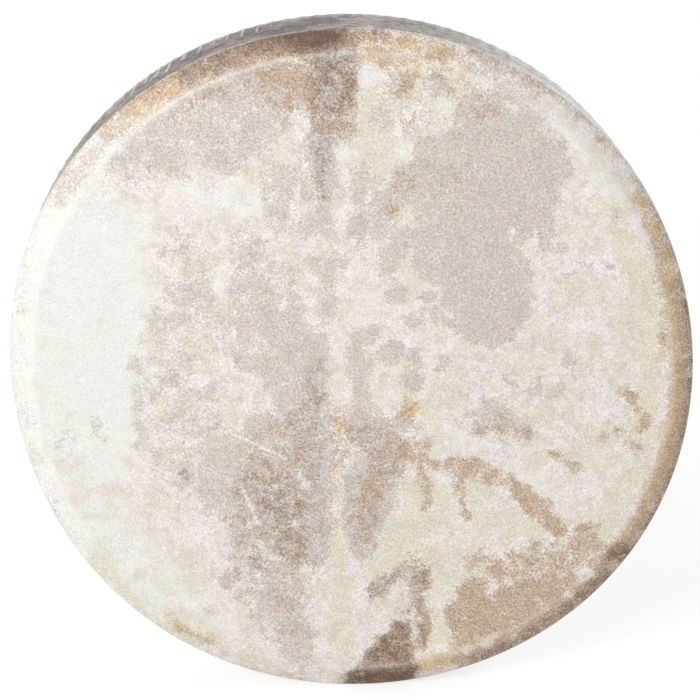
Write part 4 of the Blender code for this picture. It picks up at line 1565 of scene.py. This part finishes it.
def stitch_corners(arm, hole):
    """Out through one hole of the hem, along its back and in through the next hole."""
    return [
        (at_hole(arm, hole, LACE_INSIDE), HOLE_BEND),
        (at_hole(arm, hole, LACE_OUTSIDE), HOLE_BEND),
        (at_hole(arm, hole + 1, LACE_OUTSIDE), HOLE_BEND),
        (at_hole(arm, hole + 1, LACE_INSIDE), HOLE_BEND),
    ]


def lace_line(arm):
    """One lace: tail, ring, then hem and ring by turns through the arm's holes, ring, tail."""
    corners = [tail_end(arm, 0, -1)]
    for loop in range(STRANDS_PER_LAYER):
        corners += loop_corners(arm, loop, -1)
        if loop == STRANDS_PER_LAYER - 1:
            break
        corners.append(fan_corner(arm, loop, 1))
        corners += stitch_corners(arm, 2 * loop)
        corners.append(fan_corner(arm, loop + 1, -1))
    corners.append(tail_end(arm, STRANDS_PER_LAYER - 1, 1))
    return filled(rounded(corners), lambda start, end: LACE_STEP)


def wrap_line(arm):
    """A thong wound round the strands of an arm, with the way out from them at each point."""
    line = []
    lay = []
    for step in range(WRAP_TURNS * WRAP_STEPS):
        angle = math.tau * (step + 0.5) / WRAP_STEPS + math.pi / 2
        way = (math.cos(angle), math.sin(angle))
        across = math.copysign(BUNDLE_HALF_WIDTH, way[0]) + WRAP_RADIUS * way[0]
        depth = math.copysign(BUNDLE_HALF_HEIGHT, way[1]) + WRAP_RADIUS * way[1]
        along = WRAP_START + WRAP_PITCH * (step + 0.5) / WRAP_STEPS
        line.append(on_arm(arm, along, across, GRIP_DEPTH + depth))
        lay.append(on_arm(arm, 0.0, *way))
    return line, lay


def strand_place(finish, length_scale, round_scale):
    """Noise coordinates that run along a strand and close round it."""
    along = finish.attribute("along").outputs["Fac"]
    around = finish.vector("SCALE", finish.attribute("around").outputs["Vector"], round_scale)
    join = finish.add("ShaderNodeCombineXYZ")
    finish.feed(join.inputs["Z"], finish.math("MULTIPLY", along, length_scale))
    return finish.vector("ADD", around, join.outputs["Vector"])


def lace_finish(colours):
    """Twisted rawhide: amber, with pale stretched fibres and darker hard places."""
    finish = Finish("twisted rawhide")
    fibre = finish.noise(strand_place(finish, 60.0, 2.4), 1.0, 4.0, 0.6)
    blotch = finish.noise(strand_place(finish, 35.0, 0.5), 1.0, 3.0, 0.55)
    amber = scaled(colours.lace, 0.66, 0.55, 0.42)
    colour = finish.mix(finish.ramp(blotch, 0.40, 0.68), colours.lace, amber)
    pale = scaled(colours.lace, 1.22)
    colour = finish.mix(finish.ramp(fibre, 0.52, 0.72, 0.0, 0.7), colour, pale)
    colour = finish.mix(finish.ramp(fibre, 0.42, 0.28, 0.0, 0.45), colour, amber)
    finish.bump(fibre, 0.35, 0.0005)
    return finish.finish(colour, finish.ramp(blotch, 0.3, 0.7, 0.38, 0.58))


def leather_finish(colours):
    """Brown leather thong: fine grain, rubbed lighter on its outer face."""
    finish = Finish("brown leather")
    grain = finish.noise(strand_place(finish, 900.0, 2.6), 1.0, 3.0, 0.6)
    wear = finish.noise(strand_place(finish, 120.0, 1.1), 1.0, 4.0, 0.6)
    split = finish.add("ShaderNodeSeparateXYZ")
    finish.feed(split.inputs[0], finish.attribute("around").outputs["Vector"])
    crown = finish.math("ADD", split.outputs["X"], finish.math("MULTIPLY_ADD", wear, 1.2, -0.6))
    rubbed = scaled(colours.leather, 2.1, 1.9, 1.7)
    deep = scaled(colours.leather, 0.55)
    colour = finish.mix(finish.ramp(crown, 0.55, 1.25, 0.0, 0.75), colours.leather, rubbed)
    colour = finish.mix(finish.ramp(crown, 0.1, -0.7, 0.0, 0.8), colour, deep)
    colour = finish.mix(finish.ramp(grain, 0.5, 0.72, 0.0, 0.35), colour, deep)
    finish.bump(finish.math("ADD", grain, finish.math("MULTIPLY", wear, 0.7)), 0.35, 0.0004)
    return finish.finish(colour, finish.ramp(wear, 0.3, 0.7, 0.48, 0.7))


def steel_finish(colours):
    """Welded steel wire: drawn along its length, dulled, with brown specks."""
    finish = Finish("dull steel")
    drawn = finish.noise(strand_place(finish, 30.0, 9.0), 1.0, 3.0, 0.55)
    stain = finish.noise(strand_place(finish, 160.0, 1.3), 1.0, 5.0, 0.65)
    dark = scaled(colours.steel, 0.6)
    colour = finish.mix(finish.ramp(stain, 0.42, 0.66), colours.steel, dark)
    rust = finish.ramp(stain, 0.66, 0.76, 0.0, 0.8)
    colour = finish.mix(rust, colour, tone(104, 66, 42))
    finish.feed(finish.shader.inputs["Metallic"], finish.math("SUBTRACT", 1.0, rust))
    finish.bump(drawn, 0.12, 0.0003)
    return finish.finish(colour, finish.ramp(drawn, 0.3, 0.7, 0.3, 0.48))


def oak_finish(colours):
    """End grain of a riven peg: rings round an off-centre heart, with fine grain."""
    finish = Finish("oak end grain")
    face = finish.attribute("peg_face").outputs["Vector"]
    heart = finish.vector("SUBTRACT", face, (0.0011, -0.0007, 0.0))
    wander = finish.noise(face, 600, 2.0)
    rings = finish.math("MULTIPLY", finish.vector("LENGTH", heart), 7500.0)
    rings = finish.math("SINE", finish.math("MULTIPLY_ADD", wander, 3.0, rings))
    grain = finish.noise(face, 2600, 3.0, 0.6)
    pale = scaled(colours.oak, 1.7)
    colour = finish.mix(finish.ramp(rings, -0.4, 0.8), colours.oak, pale)
    deep = scaled(colours.oak, 0.5)
    colour = finish.mix(finish.ramp(grain, 0.5, 0.7, 0.0, 0.5), colour, deep)
    finish.bump(finish.math("ADD", grain, finish.math("MULTIPLY", rings, 0.2)), 0.3, 0.0004)
    return finish.finish(colour, finish.ramp(grain, 0.3, 0.7, 0.5, 0.7))


def peg_tree():
    """Sets a slightly domed round peg, turned by chance, on each point that it is given."""
    tree = Tree(
        "pegs on points",
        (
            ("Diameter", "Float"),
            ("Length", "Float"),
            ("Dome", "Float"),
            ("Seed", "Int"),
            ("Material", "Material"),
        ),
    )
    given = tree.given
    radius = tree.math("MULTIPLY", given["Diameter"], 0.5)
    peg = tree.node(
        "GeometryNodeMeshCylinder",
        {"fill_type": "TRIANGLE_FAN"},
        Vertices=PEG_SIDES,
        Side_Segments=3,
        Fill_Segments=5,
        Radius=radius,
        Depth=given["Length"],
    )
    place = tree.add("GeometryNodeInputPosition").outputs["Position"]
    split = tree.node("ShaderNodeSeparateXYZ", Vector=place)
    away = tree.vector("LENGTH", tree.vector("MULTIPLY", place, (1.0, 1.0, 0.0)))
    share = tree.math("DIVIDE", away, radius)
    drop = tree.math("MULTIPLY", tree.math("POWER", share, 4.0), given["Dome"])
    height = tree.math("MULTIPLY", split.outputs["Z"], tree.math("SUBTRACT", 1.0, drop))
    dome = tree.node("ShaderNodeCombineXYZ", X=split.outputs["X"], Y=split.outputs["Y"], Z=height)
    domed = tree.node(
        "GeometryNodeSetPosition",
        Geometry=tree.marked(peg.outputs["Mesh"], "peg_face", place),
        Position=dome.outputs["Vector"],
    )
    smooth = tree.node("GeometryNodeSetShadeSmooth", Geometry=domed.outputs["Geometry"])
    outward = tree.named("outward", "FLOAT_VECTOR")
    aim = tree.node("FunctionNodeAlignRotationToVector", {"axis": "Z"}, Vector=outward)
    chance = tree.node("FunctionNodeRandomValue", {"data_type": "FLOAT"}, Seed=given["Seed"])
    chance.inputs[3].default_value = math.tau
    spin = tree.node("ShaderNodeCombineXYZ", Z=chance.outputs[1])
    turn = tree.node("FunctionNodeEulerToRotation", Euler=spin.outputs["Vector"])
    turned = tree.node(
        "FunctionNodeRotateRotation", {"rotation_space": "LOCAL"}, Rotation=aim.outputs["Rotation"]
    )
    tree.feed(turned.inputs[1], turn.outputs["Rotation"])
    pegs = tree.node(
        "GeometryNodeInstanceOnPoints",
        Points=given["Geometry"],
        Instance=smooth.outputs["Geometry"],
        Rotation=turned.outputs["Rotation"],
    )
    return tree.finish(pegs.outputs["Instances"])


def make_pegs(context):
    scarf = math.radians(LATH_SCARF_ANGLES[-1])
    middle = HOOP_INNER_RADIUS - PEG_PROUD + PEG_LENGTH / 2
    places = []
    ways = []
    for side in (-1, 1):
        for level in (-1, 1):
            angle = scarf + side * PEG_SPREAD / HOOP_INNER_RADIUS
            depth = DRUM_DEPTH / 2 + level * PEG_RISE
            places.append((middle * math.cos(angle), middle * math.sin(angle), depth))
            ways.append((math.cos(angle), 0.0, math.sin(angle)))
    points = bpy.data.meshes.new("peg_points")
    points.from_pydata(upright(bent(places)).tolist(), [], [])
    layer = points.attributes.new("outward", "FLOAT_VECTOR", "POINT")
    layer.data.foreach_set("vector", np.asarray(ways, np.float32).ravel())
    values = {
        "Diameter": PEG_DIAMETER,
        "Length": PEG_LENGTH,
        "Dome": PEG_DOME,
        "Seed": PEG_SEED,
        "Material": oak_finish(context.scene.drum_colours),
    }
    mesh = grown("scarf_pegs", points, peg_tree(), values)
    mesh.set_sharp_from_angle(angle=PEG_CREASE_ANGLE)
    settle("scarf_pegs", mesh, "oak", *(f"scarf_peg_{number}" for number in range(1, len(places) + 1)))


def make_ring(context):
    sizes = context.scene.drum_sizes
    line = []
    girth = []
    for index in range(RING_SEGMENTS):
        angle = math.tau * index / RING_SEGMENTS
        line.append(Vector((RING_RADIUS * math.cos(angle), RING_RADIUS * math.sin(angle), GRIP_DEPTH)))
        girth.append(1.0 + WELD_SWELL * bell(angle, WELD_ANGLE, WELD_WIDTH))
    source = line_mesh("ring_line", line, [Vector((0.0, 0.0, 1.0))] * len(line), girth, cyclic=True)
    steel = steel_finish(context.scene.drum_colours)
    wire = sizes.ring_wire
    values = strand_values(steel, wire, wire, RING_SIDES, RING_UNEVENNESS)
    mesh = grown("steel_grip_ring", source, strand_tree(), values)
    settle("steel_grip_ring", mesh, "steel", "grip_ring")


def make_laces(context):
    sizes = context.scene.drum_sizes
    tree = strand_tree()
    rawhide = lace_finish(context.scene.drum_colours)
    values = strand_values(
        rawhide, sizes.lace_width, sizes.lace_thickness, LACE_SIDES, LACE_UNEVENNESS, sizes.lace_twist
    )
    for arm, arm_name in enumerate(ARM_NAMES):
        line = lace_line(arm)
        name = "rawhide_lace_" + arm_name
        source = line_mesh(name + "_line", line, None, [1.0] * len(line))
        settle(name, grown(name, source, tree, values), "rawhide", "lace_" + arm_name)


def make_wraps(context):
    sizes = context.scene.drum_sizes
    tree = strand_tree()
    leather = leather_finish(context.scene.drum_colours)
    values = strand_values(
        leather, sizes.thong_width, sizes.thong_thickness, THONG_SIDES, THONG_UNEVENNESS
    )
    taper = np.linspace(WRAP_TIP, 1.0, WRAP_TIP_STEPS)
    for arm, arm_name in enumerate(ARM_NAMES):
        line, lay = wrap_line(arm)
        girth = np.ones(len(line))
        girth[:WRAP_TIP_STEPS] = taper
        girth[-WRAP_TIP_STEPS:] = taper[::-1]
        name = "leather_wrap_" + arm_name
        source = line_mesh(name + "_line", line, lay, girth)
        settle(name, grown(name, source, tree, values), "leather", "wrap_" + arm_name)


def seen_rays(nodes):
    """One for the rays that show the background: camera, glossy and transmission rays."""
    rays = nodes.add("ShaderNodeLightPath").outputs
    shown = nodes.math("MAXIMUM", rays["Is Camera Ray"], rays["Is Glossy Ray"])
    return nodes.math("MAXIMUM", shown, rays["Is Transmission Ray"])


def floor_finish():
    """Pale floor that keeps a soft shadow near the drum and turns white further off."""
    finish = Finish("pale floor")
    place = finish.add("ShaderNodeTexCoord").outputs["Object"]
    finish.feed(finish.shader.inputs["Base Color"], FLOOR_BOUNCE)
    finish.feed(finish.shader.inputs["Roughness"], 1.0)
    finish.feed(finish.shader.inputs["Specular IOR Level"], 0.0)
    shadowed = finish.add("ShaderNodeBsdfDiffuse")
    finish.feed(shadowed.inputs["Color"], FLOOR_SHADOW)
    glow = finish.add("ShaderNodeEmission")
    finish.feed(glow.inputs["Strength"], FLOOR_GLOW)
    near = finish.add("ShaderNodeAddShader")
    finish.feed(near.inputs[0], shadowed.outputs[0])
    finish.feed(near.inputs[1], glow.outputs[0])
    white = finish.add("ShaderNodeEmission")
    far = finish.blend(finish.ramp(finish.vector("LENGTH", place), *FLOOR_FADE), near, white)
    shown = finish.blend(seen_rays(finish), finish.shader, far)
    finish.feed(finish.tree.nodes["Material Output"].inputs["Surface"], shown.outputs[0])
    return finish.material


def make_world():
    """An even white surround: plain fill light, and white where it is seen."""
    world = bpy.data.worlds.new("white surround")
    world.use_nodes = True
    nodes = Nodes(world.node_tree)
    background = nodes.tree.nodes["Background"]
    nodes.feed(background.inputs["Color"], (1.0, 1.0, 1.0))
    nodes.feed(background.inputs["Strength"], nodes.ramp(seen_rays(nodes), 0.0, 1.0, SURROUND_LIGHT, 1.0))
    bpy.context.scene.world = world


def aimed(name, data, place, aim):
    """A lamp or a camera at a place, looking at another."""
    item = bpy.data.objects.new(name, data)
    item.location = place
    item.rotation_euler = (Vector(aim) - Vector(place)).to_track_quat("-Z", "Y").to_euler()
    bpy.context.scene.collection.objects.link(item)
    return item


def add_lamp(name, place, size, power):
    data = bpy.data.lights.new(name, "AREA")
    data.shape = "DISK"
    data.size = size
    data.energy = power
    aimed(name, data, place, (0.0, 0.0, 0.0)).visible_camera = False


def add_camera(scene):
    data = bpy.data.cameras.new("photo camera")
    data.lens = CAMERA_LENS
    data.sensor_width = CAMERA_SENSOR
    data.clip_start, data.clip_end = CAMERA_CLIP
    scene.camera = aimed("photo camera", data, CAMERA_PLACE, CAMERA_AIM)


def make_stage(context):
    mesh = bpy.data.meshes.new("floor")
    half = FLOOR_HALF_WIDTH
    level = CAD_LOW.z - FLOOR_GAP
    corners = [(-half, -half, level), (half, -half, level), (half, half, level), (-half, half, level)]
    mesh.from_pydata(corners, [], [(0, 1, 2, 3)])
    mesh.materials.append(floor_finish())
    add_piece("floor", mesh)
    make_world()
    for lamp in LAMPS:
        add_lamp(*lamp)
    add_camera(context.scene)
    context.scene.view_settings.view_transform = "Standard"


class DRUM_OT_hoop(bpy.types.Operator):
    """Bend the three laths of the hoop and close their scarfs"""

    bl_idname = "drum.hoop"
    bl_label = "Bend the hoop"

    def execute(self, context):
        make_hoop(context)
        return {"FINISHED"}


class DRUM_OT_pegs(bpy.types.Operator):
    """Drive the pegs through the innermost scarf"""

    bl_idname = "drum.pegs"
    bl_label = "Drive the pegs"

    def execute(self, context):
        make_pegs(context)
        return {"FINISHED"}


class DRUM_OT_head(bpy.types.Operator):
    """Stretch the mottled hide over the hoop"""

    bl_idname = "drum.head"
    bl_label = "Stretch the head"

    def execute(self, context):
        make_head(context)
        return {"FINISHED"}


class DRUM_OT_ring(bpy.types.Operator):
    """Weld the grip ring"""

    bl_idname = "drum.ring"
    bl_label = "Weld the grip ring"

    def execute(self, context):
        make_ring(context)
        return {"FINISHED"}


class DRUM_OT_laces(bpy.types.Operator):
    """Lace the hem to the grip ring"""

    bl_idname = "drum.laces"
    bl_label = "Lace the hem"

    def execute(self, context):
        make_laces(context)
        return {"FINISHED"}


class DRUM_OT_wraps(bpy.types.Operator):
    """Wind a thong round each arm of the grip"""

    bl_idname = "drum.wraps"
    bl_label = "Wrap the arms"

    def execute(self, context):
        make_wraps(context)
        return {"FINISHED"}


class DRUM_OT_stage(bpy.types.Operator):
    """Set up the floor, the light and the camera"""

    bl_idname = "drum.stage"
    bl_label = "Set the stage"

    def execute(self, context):
        make_stage(context)
        return {"FINISHED"}


OPERATORS = (
    DRUM_OT_stage,
    DRUM_OT_hoop,
    DRUM_OT_pegs,
    DRUM_OT_head,
    DRUM_OT_ring,
    DRUM_OT_laces,
    DRUM_OT_wraps,
)


class DRUM_PT_panel(bpy.types.Panel):
    """Steps, sizes and colours of the drum"""

    bl_idname = "DRUM_PT_panel"
    bl_label = "Hand drum"
    bl_space_type = "VIEW_3D"
    bl_region_type = "UI"
    bl_category = "Drum"

    def draw(self, context):
        for operator in OPERATORS:
            self.layout.operator(operator.bl_idname)
        for group in (context.scene.drum_sizes, context.scene.drum_colours):
            box = self.layout.box()
            for name in group.bl_rna.properties.keys():
                if name not in ("rna_type", "name"):
                    box.prop(group, name)


CLASSES = (DrumSizes, DrumColours, *OPERATORS, DRUM_PT_panel)


def register():
    for item in CLASSES:
        bpy.utils.register_class(item)
    bpy.types.Scene.drum_sizes = bpy.props.PointerProperty(type=DrumSizes)
    bpy.types.Scene.drum_colours = bpy.props.PointerProperty(type=DrumColours)


def unregister():
    del bpy.types.Scene.drum_colours
    del bpy.types.Scene.drum_sizes
    for item in reversed(CLASSES):
        bpy.utils.unregister_class(item)


def main():
    register()
    bpy.ops.drum.stage()
    bpy.ops.drum.hoop()
    bpy.ops.drum.pegs()
    bpy.ops.drum.head()
    bpy.ops.drum.ring()
    bpy.ops.drum.laces()
    bpy.ops.drum.wraps()


if __name__ == "__main__":
    main()
